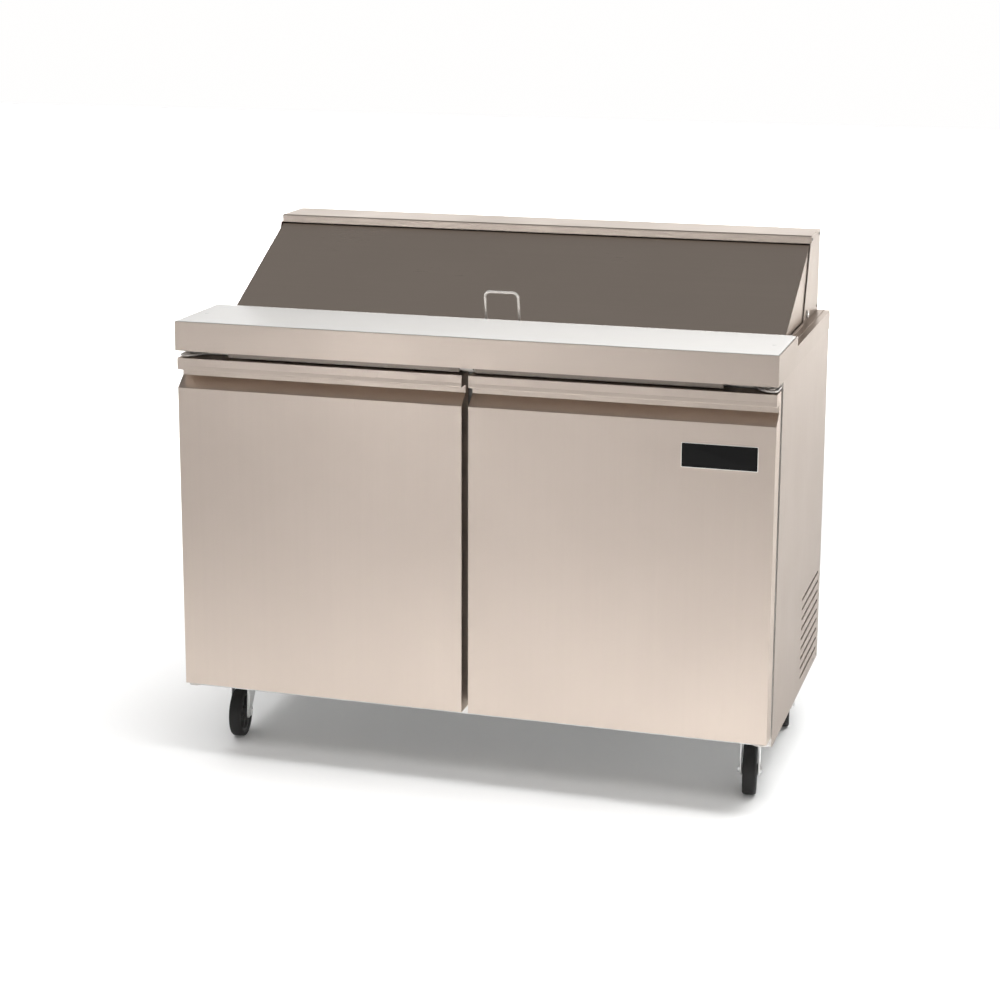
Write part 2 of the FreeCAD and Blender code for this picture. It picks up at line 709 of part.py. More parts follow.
def make_hinge_pins():
    head_r = 6.5
    head_high = 3.0

    def pin(z0, z1, head_z):
        shank = rod(place(HINGE_X, HINGE_DEPTH, z0), place(HINGE_X, HINGE_DEPTH, z1), HINGE_PIN_R)
        head = rod(place(HINGE_X, HINGE_DEPTH, head_z),
                   place(HINGE_X, HINGE_DEPTH, head_z + head_high), head_r)
        return join([shank, head])

    upper_end = UPPER_LEAF + BRACKET_THICK
    pins = [pin(DOOR_TOP - PIN_REACH, upper_end, upper_end),
            pin(LOWER_LEAF, DOOR_BOTTOM + PIN_REACH + 1, LOWER_LEAF - head_high)]
    return group(pins + [mirrored(pin) for pin in pins])


# ------------------------------------------------------------------ cold inside
def make_shelf(centre_x):
    """Coated wire shelf: four carrier rods under a row of close wires."""
    half_wide = 258.0
    front = 78.0
    rear = 578.0
    z = SHELF_Z
    carrier_r = 3.0
    wire_r = 2.0
    carriers = []
    for depth in (front + 12, 245, 411, rear - 12):
        carriers.append(rod(place(centre_x - half_wide, depth, z),
                            place(centre_x + half_wide, depth, z), carrier_r))
    wires = []
    count = 21
    for index in range(count):
        x = centre_x - half_wide + 6 + index * (2 * half_wide - 12) / (count - 1)
        wires.append(rod(place(x, front, z + 4), place(x, rear, z + 4), wire_r))
    return join(carriers + wires)


PILASTER_SPOTS = [(-LINER_X, 110, 1), (-LINER_X, 545, 1), (-MULLION_X, 92, -1)]


def make_shelf_pilasters():
    """Slotted strips on the liner's sides and on the mullion."""
    top = 800
    strips = []
    for wall_x, depth, facing in PILASTER_SPOTS:
        x0, x1 = sorted((wall_x, wall_x + 3.0 * facing))
        low = 400 if depth > LINER_STEP_DEPTH else 200
        strip = block(x0, x1, depth - 7, depth + 7, low, top)
        slots = [block(x0 - 1, x1 + 1, depth - 3, depth + 3, z, z + 5)
                 for z in range(low + 20, top - 10, 50)]
        strip = carve(strip, slots)
        strips += [strip, mirrored(strip)]
    post = block(-40, -28, LINER_REAR - 3, LINER_REAR, 400, 552)
    slots = [block(-37, -31, LINER_REAR - 4, LINER_REAR + 1, z, z + 5)
             for z in range(420, 540, 50)]
    post = carve(post, slots)
    return group(strips + [post, mirrored(post)])


def make_shelf_clips():
    """Hook clips that carry the shelf's carrier rods."""
    z = SHELF_Z - 3
    clips = []
    for wall_x, depth, facing in PILASTER_SPOTS:
        x0, x1 = sorted((wall_x + 3.0 * facing, wall_x + 15.0 * facing))
        clips.append(block(x0, x1, depth - 24, depth + 24, z - 3, z))
    clips.append(block(-62, -28, LINER_REAR - 26, LINER_REAR - 3, z - 3, z))
    return group(clips + [mirrored(clip) for clip in clips])


EVAP_X = 250.0
EVAP_FRONT = 488.0
EVAP_LOW = 560.0
EVAP_HIGH = 765.0
FAN_Z = 662.0


def make_evaporator_housing():
    """Sheet cover with a fan inlet, a wire guard and the fan motor's bridge."""
    outer = wide(EVAP_X, EVAP_FRONT, LINER_REAR, EVAP_LOW, EVAP_HIGH)
    hollow = wide(EVAP_X - SHEET, EVAP_FRONT + SHEET, LINER_REAR + 1,
                  EVAP_LOW + SHEET, EVAP_HIGH - SHEET)
    inlet = rod(place(0, EVAP_FRONT - 1, FAN_Z), place(0, EVAP_FRONT + 3, FAN_Z), 82)
    outlets = []
    for side in (-1, 1):
        for row in range(6):
            x0, x1 = sorted((side * 110, side * 230))
            z = EVAP_LOW + 30 + row * 26
            outlets.append(block(x0, x1, EVAP_FRONT - 1, EVAP_FRONT + 3, z, z + 8))
    cover = carve(outer.cut(hollow), [inlet] + outlets)
    guard = []
    for radius in (24.0, 44.0, 64.0):
        ring = Part.makeTorus(radius, 1.5, place(0, EVAP_FRONT - 1.5, FAN_Z), V(0, 1, 0))
        guard.append(ring)
    spokes = [block(-84, 84, EVAP_FRONT - 3, EVAP_FRONT, FAN_Z - 1.5, FAN_Z + 1.5),
              block(-1.5, 1.5, EVAP_FRONT - 3, EVAP_FRONT, FAN_Z - 84, FAN_Z + 84)]
    motor = rod(place(0, 522, FAN_Z), place(0, 547, FAN_Z), 28)
    bridge = wide(EVAP_X - SHEET, 541, 544, FAN_Z - 10, FAN_Z + 10)
    shaft = rod(place(0, 502, FAN_Z), place(0, 522, FAN_Z), 3)
    return group([join([cover] + spokes + guard), join([motor, bridge, shaft])])


def fan_wheel(centre, axis, blade_r, hub_r, thick, bore_r):
    """A hub with five pitched blades, built on Z and turned to its axis."""
    hub = Part.makeCylinder(hub_r, thick, V(0, 0, -thick / 2))
    blades = []
    for index in range(5):
        blade = Part.makeBox(blade_r - hub_r + 3, 38, 2.0, V(hub_r - 3, -19, -1))
        blade.rotate(V(0, 0, 0), V(1, 0, 0), 24)
        blade.rotate(V(0, 0, 0), V(0, 0, 1), 72 * index)
        blades.append(blade)
    limit = Part.makeCylinder(blade_r, 60, V(0, 0, -30))
    wheel = join([hub] + [blade.common(limit) for blade in blades])
    wheel = wheel.cut(Part.makeCylinder(bore_r, 100, V(0, 0, -50)))
    wheel.Placement = FreeCAD.Placement(centre, FreeCAD.Rotation(V(0, 0, 1), axis))
    return wheel


def make_evaporator_fan():
    return fan_wheel(place(0, 510, FAN_Z), V(0, 1, 0), 74, 20, 16, 3.05)


def finned_coil(x0, x1, d0, d1, z0, z1, along_x):
    """Fins and the tube ends of a coil, as one block with a fin rhythm."""
    core = block(x0, x1, d0, d1, z0, z1)
    cuts = []
    pitch = 8.0
    if along_x:
        steps = int((x1 - x0 - 12) / pitch)
        for index in range(steps):
            x = x0 + 8 + index * pitch
            cuts.append(block(x, x + 5, d0 - 1, d0 + 6, z0 + 4, z1 - 4))
    else:
        steps = int((d1 - d0 - 12) / pitch)
        for index in range(steps):
            d = d0 + 8 + index * pitch
            cuts.append(block(x1 - 8, x1 + 1, d, d + 5, z0 + 4, z1 - 4))
    return carve(core, cuts)


def make_evaporator_coil():
    return finned_coil(-225, 225, 552, 588, EVAP_LOW + 12, EVAP_HIGH - 12, True)


# --------------------------------------------------------------- machine room
COND_FAN_X = 478.0
COND_FAN_Z = 240.0
COND_FAN_DEPTH = 515.0


def make_compressor():
    """Hermetic compressor: a domed can on a mounting plate with feet."""
    x, depth, low = 210.0, 520.0, 150.0
    can = rod(place(x, depth, low), place(x, depth, low + 120), 72)
    can = rounded(can, 28, lambda mid, edge: mid.z > low + 119)
    plate = block(x - 100, x + 100, depth - 70, depth + 70, low - 4, low)
    feet = [rod(place(x + sx * 85, depth + sd * 55, BASE_Z + PANEL),
                place(x + sx * 85, depth + sd * 55, low - 4), 10)
            for sx in (-1, 1) for sd in (-1, 1)]
    cover = block(x - 30, x + 30, depth - 88, depth - 66, low + 40, low + 95)
    pipe = rod(place(x + 40, depth + 30, low + 100), place(x + 40, depth + 30, low + 160), 5)
    return join([can, plate, cover, pipe] + feet)


COIL_X0 = 545.0                # condenser coil behind the louvres
COIL_X1 = 585.0
COIL_FRONT = 412.0
COIL_REAR = 618.0
COIL_LOW = 146.0
COIL_HIGH = 326.0
SHROUD_X = 500.0


def make_condenser_coil():
    return finned_coil(COIL_X0, COIL_X1, COIL_FRONT, COIL_REAR, COIL_LOW, COIL_HIGH, False)


def make_condenser_fan_shroud():
    """Sheet shroud behind the coil, with the motor on its bridge."""
    y, z = COND_FAN_DEPTH, COND_FAN_Z
    floor = BASE_Z + PANEL
    motor_end = 462.0
    shell = block(SHROUD_X, COIL_X0, COIL_FRONT, COIL_REAR, COIL_LOW, COIL_HIGH)
    hollow = block(SHROUD_X + SHEET, COIL_X0 + 1, COIL_FRONT + SHEET, COIL_REAR - SHEET,
                   COIL_LOW + SHEET, COIL_HIGH - SHEET)
    throat = rod(place(SHROUD_X - 5, y, z), place(SHROUD_X + 5, y, z), 82)
    foot = block(SHROUD_X, COIL_X0, COIL_FRONT, COIL_REAR, floor, COIL_LOW)
    motor = rod(place(420, y, z), place(motor_end, y, z), 34)
    shaft = rod(place(motor_end, y, z), place(motor_end + 24, y, z), 4)
    post = block(430, 452, y - 12, y + 12, floor, z - 20)
    bracket = join([motor, shaft, post])
    return group([join([shell.cut(hollow).cut(throat), foot]), bracket])


def make_condenser_fan():
    return fan_wheel(place(COND_FAN_X, COND_FAN_DEPTH, COND_FAN_Z), V(1, 0, 0), 74, 22, 14, 4.05)


# --------------------------------------------------------------------- casters
AXLE_R = 4.0
LEG_INNER = HUB_WIDE / 2 + 0.5
LEG_THICK = 3.0
CROWN_LOW = 108.0
CROWN_TOP = 112.0
RACE_LOW = CROWN_TOP + FIT
PLATE_LOW = BASE_Z - 4.0
KINGPIN_R = 6.0
LEVER_BACK = 20.0
LEVER_Z = 95.0
LEVER_PIN_R = 2.5


def caster_spots():
    return {
        "front_left": (-CASTER_X, CASTER_FRONT),
        "front_right": (CASTER_X, CASTER_FRONT),
        "rear_left": (-CASTER_X, CASTER_REAR),
        "rear_right": (CASTER_X, CASTER_REAR),
    }


def stand_caster(shape, x, depth):
    """Move a caster piece from the swivel axis at the origin to its corner."""
    copy = shape.copy()
    corner = FreeCAD.Placement(place(x, depth, 0), FreeCAD.Rotation(V(0, 0, 1), CASTER_TURN))
    copy.Placement = corner.multiply(copy.Placement)
    return copy


def across(y, z, half_long, radius):
    """A round bar along X, centred on the caster."""
    return Part.makeCylinder(radius, 2 * half_long, V(-half_long, y, z), V(1, 0, 0))


def fork_leg():
    outline = [(-34, CROWN_TOP), (26, CROWN_TOP), (30, 100), (28, 88), (-17, 46),
               (-24, 40), (-36, 40), (-43, 46), (-43, 60)]
    points = [V(LEG_INNER, y, z) for y, z in outline]
    return Part.Face(Part.makePolygon(points + points[:1])).extrude(V(LEG_THICK, 0, 0))


def make_fork(with_brake):
    leg = fork_leg()
    outer = LEG_INNER + LEG_THICK
    crown = Part.makeBox(2 * outer, 60, CROWN_TOP - CROWN_LOW, V(-outer, -34, CROWN_LOW))
    disc = Part.makeCylinder(31, CROWN_TOP - CROWN_LOW, V(0, 0, CROWN_LOW))
    fork = join([leg, mirrored(leg), crown, disc])
    fork = fork.cut(Part.makeCylinder(KINGPIN_R + 0.05, 20, V(0, 0, CROWN_LOW - 5)))
    fork = fork.cut(across(-CASTER_TRAIL, WHEEL_R, outer + 1, AXLE_R))
    axle = join([across(-CASTER_TRAIL, WHEEL_R, outer + 6, AXLE_R),
                 Part.makeCylinder(8, 5, V(outer, -CASTER_TRAIL, WHEEL_R), V(1, 0, 0)),
                 Part.makeCylinder(8, 5, V(-outer - 5, -CASTER_TRAIL, WHEEL_R), V(1, 0, 0))])
    pieces = [fork, axle]
    if with_brake:
        pieces[0] = fork.cut(across(LEVER_BACK, LEVER_Z, outer + 1, LEVER_PIN_R))
        pieces.append(across(LEVER_BACK, LEVER_Z, outer + 1, LEVER_PIN_R))
    return pieces


def make_wheel():
    """Solid rubber wheel turned about its axle, with dished sides."""
    half = WHEEL_WIDE / 2
    hub = HUB_WIDE / 2
    bore = AXLE_R + 0.05
    section = [(bore, -hub), (15, -hub), (15, -half + 5), (38, -half + 4), (41, -half),
               (47, -half), (WHEEL_R, -half + 6), (WHEEL_R, half - 6), (47, half),
               (41, half), (38, half - 4), (15, half - 5), (15, hub), (bore, hub)]
    points = [V(x, 0, r) for r, x in section]
    face = Part.Face(Part.makePolygon(points + points[:1]))
    wheel = face.revolve(V(0, 0, 0), V(1, 0, 0), 360)
    wheel.translate(V(0, -CASTER_TRAIL, WHEEL_R))
    return wheel


def make_brake_lever():
    """Foot lever on the fork's rear, with a shoe beside the tread."""
    boss = across(LEVER_BACK, LEVER_Z, LEG_INNER - 1.5, 5)
    pedal = Part.makeBox(30, 42, 3, V(-15, LEVER_BACK + 3, LEVER_Z - 1.5))
    pedal.rotate(V(0, LEVER_BACK, LEVER_Z), V(1, 0, 0), 12)
    shoe_back = LEVER_BACK - 6.5
    shoe_z = LEVER_Z - 12
    tip = across(shoe_back, shoe_z, 12, 1.5)
    points = [V(-12, LEVER_BACK - 4, LEVER_Z), V(-12, LEVER_BACK + 2, LEVER_Z - 3),
              V(-12, shoe_back + 1.2, shoe_z - 0.9), V(-12, shoe_back - 1.2, shoe_z + 0.9)]
    arm = Part.Face(Part.makePolygon(points + points[:1])).extrude(V(24, 0, 0))
    lever = join([boss, pedal, arm, tip])
    return lever.cut(across(LEVER_BACK, LEVER_Z, 30, LEVER_PIN_R + 0.05))


def caster_bolt_spots():
    return [(sx * 40, sy * 32) for sx in (-1, 1) for sy in (-1, 1)]


def make_caster_plate():
    """Top plate, bearing race and kingpin that carry one fork."""
    plate = Part.makeBox(104, 84, BASE_Z - PLATE_LOW, V(-52, -42, PLATE_LOW))
    upright = [e for e in plate.Edges if abs(e.Vertexes[0].Z - e.Vertexes[1].Z) > 1]
    plate = plate.makeFillet(8, upright)
    race = Part.makeCylinder(29, PLATE_LOW - RACE_LOW, V(0, 0, RACE_LOW))
    pin = Part.makeCylinder(KINGPIN_R, RACE_LOW - 104, V(0, 0, 104))
    nut = Part.makeCylinder(10, CROWN_LOW - FIT - 104, V(0, 0, 104))
    holes = [Part.makeCylinder(4, 10, V(x, y, PLATE_LOW - 2)) for x, y in caster_bolt_spots()]
    return carve(join([plate, race, pin, nut]), holes)


def make_caster_bolts():
    bolts = []
    for x, y in caster_bolt_spots():
        shank = Part.makeCylinder(4, BASE_Z - PLATE_LOW, V(x, y, PLATE_LOW))
        head = Part.makeCylinder(6.5, 5, V(x, y, PLATE_LOW - 5))
        bolts.append(join([shank, head]))
    return bolts


# --------------------------------------------------------------------- screws
def side_screw(x, depth, z, high):
    """A low pan head on a side face that looks along +X."""
    return rod(place(x, depth, z), place(x + high, depth, z), 3.6)


def make_cabinet_screws():
    heads = [side_screw(PANEL_X, depth, 141, SHEET) for depth in (592, 632)]
    heads += [side_screw(HOOD_X, 538, 1068, 1.8), side_screw(HOOD_X, 632, 1068, 1.8),
              side_screw(HOOD_X, 634, 915, 1.8)]
    for x in (535, 565):
        for z in (859, 144):
            heads.append(rod(place(x, FRAME_DEPTH - 4.5, z), place(x, FRAME_DEPTH - 2.5, z), 3.6))
    for x in (300, 595):
        for z in (500, 840):
            heads.append(rod(place(x, REAR_PANEL, z), place(x, REAR_PANEL + 1, z), 4.0))
    return group(heads + [mirrored(head) for head in heads])


# ---------------------------------------------------------------------- export
def export_cabinet():
    side = make_side_panel()
    save("side_panel_left", mirrored(side))
    save("side_panel_right", make_louvres(side))
    save("back_panel", make_back_panel())
    save("base_pan", make_base_pan())
    save("worktop", make_worktop())
    save("front_frame", make_front_frame())
    save("inner_liner", make_inner_liner())
    save("foam_insulation", make_foam_insulation())
    save("centre_mullion", make_centre_mullion())
    save("rear_grille", make_rear_grille())
    save("controller", make_controller())
    save("cable_gland", make_cable_gland())
    save("cabinet_screws", make_cabinet_screws())


def export_top():
    save("cutting_board", make_cutting_board())
    save("pan_rails", make_pan_rails())
    save("pans_front", make_pan_row(0))
    save("pans_rear", make_pan_row(1))
    save("hood_canopy", make_hood_canopy())
    save("hood_rails", make_hood_rails())
    save("hood_pins", make_hood_pins())
    save("lid_skin", make_lid_skin())
    save("lid_liner", make_lid_liner())
    save("lid_foam", make_lid_foam())
    save("lid_handle", make_lid_handle())


def export_doors():
    pieces = {
        "skin": make_door_skin(),
        "liner": make_door_liner(),
        "foam": make_door_foam(),
        "gasket": make_door_gasket(),
        "bushes": make_door_bushes(),
    }
    for name, shape in pieces.items():
        save("door_right_" + name, shape)
        save("door_left_" + name, mirrored(shape))
    save("door_right_badge", make_badge())
    save("door_brackets", make_door_brackets())
    save("hinge_pins", make_hinge_pins())


def export_inside():
    shelf_x = (LINER_X + MULLION_X) / 2
    save("shelf_left", make_shelf(-shelf_x))
    save("shelf_right", make_shelf(shelf_x))
    save("shelf_pilasters", make_shelf_pilasters())
    save("shelf_clips", make_shelf_clips())
    save("evaporator_housing", make_evaporator_housing())
    save("evaporator_coil", make_evaporator_coil())
    save("evaporator_fan", make_evaporator_fan())
    save("compressor", make_compressor())
    save("condenser_coil", make_condenser_coil())
    save("condenser_fan_shroud", make_condenser_fan_shroud())
    save("condenser_fan", make_condenser_fan())


def export_casters():
    plates = []
    bolts = []
    for corner, (x, depth) in caster_spots().items():
        front = corner.startswith("front")
        fork = [stand_caster(piece, x, depth) for piece in make_fork(front)]
        save("caster_fork_" + corner, group(fork))
        save("caster_wheel_" + corner, stand_caster(make_wheel(), x, depth))
        if front:
            save("caster_brake_" + corner, stand_caster(make_brake_lever(), x, depth))
        plate = make_caster_plate()
        plate.translate(place(x, depth, 0))
        plates.append(plate)
        for bolt in make_caster_bolts():
            bolt.translate(place(x, depth, 0))
            bolts.append(bolt)
    save("caster_plates", group(plates))
    save("caster_bolts", group(bolts))


os.makedirs("parts", exist_ok=True)
export_cabinet()
export_top()
export_doors()
export_inside()
export_casters()
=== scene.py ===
import json
import math

import bmesh
import bpy
from mathutils import Matrix, Vector


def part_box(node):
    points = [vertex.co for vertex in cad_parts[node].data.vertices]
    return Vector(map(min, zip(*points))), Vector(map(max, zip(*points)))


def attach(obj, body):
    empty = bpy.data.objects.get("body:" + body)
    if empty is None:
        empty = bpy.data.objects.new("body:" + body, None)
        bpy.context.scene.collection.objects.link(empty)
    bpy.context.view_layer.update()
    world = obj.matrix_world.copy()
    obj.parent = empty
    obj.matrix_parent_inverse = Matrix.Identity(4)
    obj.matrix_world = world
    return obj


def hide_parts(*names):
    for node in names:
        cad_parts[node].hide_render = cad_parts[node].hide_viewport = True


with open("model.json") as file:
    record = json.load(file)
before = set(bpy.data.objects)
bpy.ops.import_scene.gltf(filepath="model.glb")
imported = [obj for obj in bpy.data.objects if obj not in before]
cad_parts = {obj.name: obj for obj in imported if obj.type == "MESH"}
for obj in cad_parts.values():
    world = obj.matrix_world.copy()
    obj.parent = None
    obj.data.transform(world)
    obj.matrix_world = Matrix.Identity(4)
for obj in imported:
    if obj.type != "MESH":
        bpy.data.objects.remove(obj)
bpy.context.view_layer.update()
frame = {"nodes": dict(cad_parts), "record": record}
NODES = frame["nodes"]

# Lengths below are millimetres unless a name says otherwise. Depths are measured
# back from the apron's front face, as in the CAD source.
MM = 0.001
FRONT_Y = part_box("worktop")[0].y / MM
CORNERS = ("front_left", "front_right", "rear_left", "rear_right")


# ------------------------------------------------------------------ node helpers
def feed(tree, socket, value):
    """Link a socket to another one, or set it to a constant."""
    if isinstance(value, bpy.types.NodeSocket):
        tree.links.new(value, socket)
    else:
        socket.default_value = value


def node(tree, kind, inputs=None, **settings):
    made = tree.nodes.new(kind)
    for key, value in settings.items():
        setattr(made, key, value)
    for key, value in (inputs or {}).items():
        feed(tree, made.inputs[key], value)
    return made


def new_material(name, **constants):
    material = bpy.data.materials.new(name)
    material.use_nodes = True
    tree = material.node_tree
    shader = tree.nodes["Principled BSDF"]
    for key, value in constants.items():
        shader.inputs[key.replace("_", " ")].default_value = value
    return material, tree, shader


def object_place(tree, scale):
    """Object coordinates stretched by a scale for each axis, in features per metre."""
    where = node(tree, "ShaderNodeTexCoord").outputs["Object"]
    return node(tree, "ShaderNodeMapping", {"Vector": where, "Scale": scale}).outputs["Vector"]


def noise(tree, vector, scale=1.0, detail=2.0, roughness=0.5):
    made = node(tree, "ShaderNodeTexNoise", {"Vector": vector, "Scale": scale,
                                             "Detail": detail, "Roughness": roughness})
    return made.outputs["Fac"]


def remap(tree, value, low, high, to_low, to_high, smooth=False):
    made = node(tree, "ShaderNodeMapRange", {
        "Value": value, "From Min": low, "From Max": high, "To Min": to_low, "To Max": to_high,
    })
    made.interpolation_type = "SMOOTHSTEP" if smooth else "LINEAR"
    return made.outputs["Result"]


def math_node(tree, operation, a, b):
    made = node(tree, "ShaderNodeMath", operation=operation)
    feed(tree, made.inputs[0], a)
    feed(tree, made.inputs[1], b)
    return made.outputs["Value"]


def mix_colour(tree, factor, first, second):
    """Blend two colours; 0, 6, 7 and 2 are the places of the colour sockets."""
    made = node(tree, "ShaderNodeMix", data_type="RGBA")
    for place, value in ((0, factor), (6, first), (7, second)):
        feed(tree, made.inputs[place], value)
    return made.outputs[2]


def shade(colour, amount):
    return tuple(min(1.0, channel * amount) for channel in colour[:3]) + (1.0,)


def bump(tree, shader, height, strength, distance, round_edge=0.0):
    made = node(tree, "ShaderNodeBump", {"Height": height, "Strength": strength,
                                         "Distance": distance})
    if round_edge:
        edge = node(tree, "ShaderNodeBevel", {"Radius": round_edge}, samples=4)
        tree.links.new(edge.outputs["Normal"], made.inputs["Normal"])
    tree.links.new(made.outputs["Normal"], shader.inputs["Normal"])


# --------------------------------------------------------------------- materials
BLACK = (0.0, 0.0, 0.0, 1.0)
# The closing strips under the apron: their place, and where the painted shade on them changes.
STRIP_FRONT = FRONT_Y + 17.0
STRIP_REAR = FRONT_Y + 24.0
STRIP_LOW = 851.5
STRIP_HIGH = 864.0
STRIP_TOP = 867.4
STRIP_SHADE_LOW = 0.64
STRIP_SHADE_HIGH = 0.58


def painted_side_shade(tree, level):
    """1 on faces that look along y or z, and level on faces that look along x: painted shade on
    the sides.
    """
    facing = node(tree, "ShaderNodeTexCoord").outputs["Normal"]
    parts = node(tree, "ShaderNodeSeparateXYZ", {"Vector": facing})
    across = math_node(tree, "ABSOLUTE", parts.outputs["X"], 0.0)
    return remap(tree, across, 0.5, 0.9, 1.0, level, True)


def painted_strip_shade(tree):
    """1 everywhere but on the closing strips, which get painted shade, darker below."""
    where = node(tree, "ShaderNodeTexCoord").outputs["Object"]
    parts = node(tree, "ShaderNodeSeparateXYZ", {"Vector": where})
    behind = remap(tree, parts.outputs["Y"], STRIP_FRONT * MM, (STRIP_FRONT + 1.0) * MM,
                   0.0, 1.0, True)
    ahead = remap(tree, parts.outputs["Y"], (STRIP_REAR - 1.0) * MM, STRIP_REAR * MM,
                  1.0, 0.0, True)
    below = remap(tree, parts.outputs["Z"], (STRIP_TOP - 0.6) * MM, STRIP_TOP * MM,
                  1.0, 0.0, True)
    strip = math_node(tree, "MULTIPLY", math_node(tree, "MULTIPLY", behind, ahead), below)
    painted_shade = remap(tree, parts.outputs["Z"], STRIP_LOW * MM, STRIP_HIGH * MM,
                 STRIP_SHADE_LOW, STRIP_SHADE_HIGH, True)
    return math_node(tree, "SUBTRACT", 1.0, math_node(tree, "MULTIPLY", strip, painted_shade))


def brushed_steel(name, tint, rough, grain, contrast=0.05, spread=0.05, relief=0.12,
                  round_edge=0.0007, sides=1.0, recess=False):
    """Sheet with a directional polish: fine streaks, broader bands and soft smears."""
    material, tree, shader = new_material(name, Metallic=1.0, Specular_Tint=GRAZING)
    fine = noise(tree, object_place(tree, grain), 1.0, 3.0, 0.6)
    band = noise(tree, object_place(tree, tuple(g * 0.16 for g in grain)), 1.0, 2.0, 0.5)
    smear = noise(tree, object_place(tree, (4.0, 4.0, 4.0)), 1.0, 3.0, 0.55)
    streak = math_node(tree, "ADD", math_node(tree, "MULTIPLY", fine, 0.6),
                       math_node(tree, "MULTIPLY", band, 0.4))
    factor = remap(tree, streak, 0.3, 0.7, 0.0, 1.0)
    colour = mix_colour(tree, factor, shade(tint, 1.0 - contrast), shade(tint, 1.0 + contrast))
    soft = mix_colour(tree, remap(tree, smear, 0.3, 0.7, 0.0, 0.5), colour, shade(tint, 0.94))
    # Painted shade on the faces that look along x.
    if sides < 1.0:
        soft = mix_colour(tree, painted_side_shade(tree, sides), BLACK, soft)
    # Painted shade on the closing strips under the apron.
    if recess:
        soft = mix_colour(tree, painted_strip_shade(tree), BLACK, soft)
    tree.links.new(soft, shader.inputs["Base Color"])
    gloss = math_node(tree, "ADD", remap(tree, fine, 0.25, 0.75, rough - spread, rough + spread),
                      remap(tree, smear, 0.3, 0.7, -0.02, 0.03))
    tree.links.new(gloss, shader.inputs["Roughness"])
    bump(tree, shader, streak, relief, 0.00015, round_edge)
    return material


def plated_metal(name, tint, rough, cloud=0.12, metallic=1.0, bumpy=0.1):
    """Zinc or chrome plate: cloudy tone, slightly uneven gloss."""
    material, tree, shader = new_material(name, Metallic=metallic)
    cloudy = noise(tree, object_place(tree, (70.0, 70.0, 70.0)), 1.0, 4.0, 0.6)
    grain = noise(tree, object_place(tree, (900.0, 900.0, 900.0)), 1.0, 2.0)
    factor = remap(tree, cloudy, 0.3, 0.7, 0.0, 1.0)
    tree.links.new(mix_colour(tree, factor, shade(tint, 1.0 - cloud), shade(tint, 1.0 + cloud)),
                   shader.inputs["Base Color"])
    tree.links.new(remap(tree, cloudy, 0.3, 0.7, rough + 0.06, rough - 0.05),
                   shader.inputs["Roughness"])
    bump(tree, shader, grain, bumpy, 0.0001, 0.0004)
    return material


def galvanised(name, tint, rough):
    """Hot-dip sheet with a faint spangle."""
    material, tree, shader = new_material(name, Metallic=1.0)
    where = object_place(tree, (75.0, 75.0, 75.0))
    cells = node(tree, "ShaderNodeTexVoronoi", {"Vector": where, "Scale": 1.0})
    tone = node(tree, "ShaderNodeSeparateColor", {"Color": cells.outputs["Color"]})
    fine = noise(tree, where, 8.0, 3.0)
    factor = math_node(tree, "ADD", math_node(tree, "MULTIPLY", tone.outputs[0], 0.7),
                       math_node(tree, "MULTIPLY", fine, 0.3))
    tree.links.new(mix_colour(tree, factor, shade(tint, 0.92), shade(tint, 1.04)),
                   shader.inputs["Base Color"])
    tree.links.new(remap(tree, factor, 0.0, 1.0, rough + 0.04, rough - 0.04),
                   shader.inputs["Roughness"])
    bump(tree, shader, fine, 0.08, 0.0002, 0.0005)
    return material


def moulded(name, tint, rough, grain=1400.0, relief=0.25, variation=0.12, **constants):
    """Plastic, rubber or paint with a fine surface texture."""
    material, tree, shader = new_material(name, **constants)
    fine = noise(tree, object_place(tree, (grain, grain, grain)), 1.0, 2.0)
    broad = noise(tree, object_place(tree, (22.0, 22.0, 22.0)), 1.0, 3.0)
    factor = remap(tree, broad, 0.3, 0.7, 0.0, 1.0)
    tree.links.new(mix_colour(tree, factor, shade(tint, 1.0 - variation),
                              shade(tint, 1.0 + variation)), shader.inputs["Base Color"])
    tree.links.new(remap(tree, math_node(tree, "ADD", fine, broad), 0.6, 1.4,
                         rough - 0.05, rough + 0.07), shader.inputs["Roughness"])
    bump(tree, shader, fine, relief, 0.0001, 0.0004)
    return material


def cutting_board_material():
    """White polyethylene: a fine matt grain and faint knife marks."""
    material, tree, shader = new_material("board_poly", IOR=1.5, Subsurface_Weight=0.08,
                                          Subsurface_Radius=(0.004, 0.004, 0.004))
    pores = noise(tree, object_place(tree, (1100.0, 1100.0, 1100.0)), 1.0, 2.0)
    cloud = noise(tree, object_place(tree, (5.0, 9.0, 9.0)), 1.0, 3.0)
    cuts = noise(tree, object_place(tree, (14.0, 900.0, 14.0)), 1.0, 2.0)
    mark = remap(tree, cuts, 0.66, 0.74, 0.0, 1.0)
    white = (0.50, 0.49, 0.475, 1.0)
    plain = mix_colour(tree, remap(tree, cloud, 0.3, 0.7, 0.0, 1.0), shade(white, 0.975), white)
    tree.links.new(mix_colour(tree, math_node(tree, "MULTIPLY", mark, 0.25), plain,
                              shade(white, 0.86)), shader.inputs["Base Color"])
    tree.links.new(remap(tree, math_node(tree, "ADD", pores, mark), 0.3, 1.4, 0.4, 0.55),
                   shader.inputs["Roughness"])
    height = math_node(tree, "SUBTRACT", pores, math_node(tree, "MULTIPLY", mark, 0.8))
    bump(tree, shader, height, 0.18, 0.0001, 0.0005)
    return material


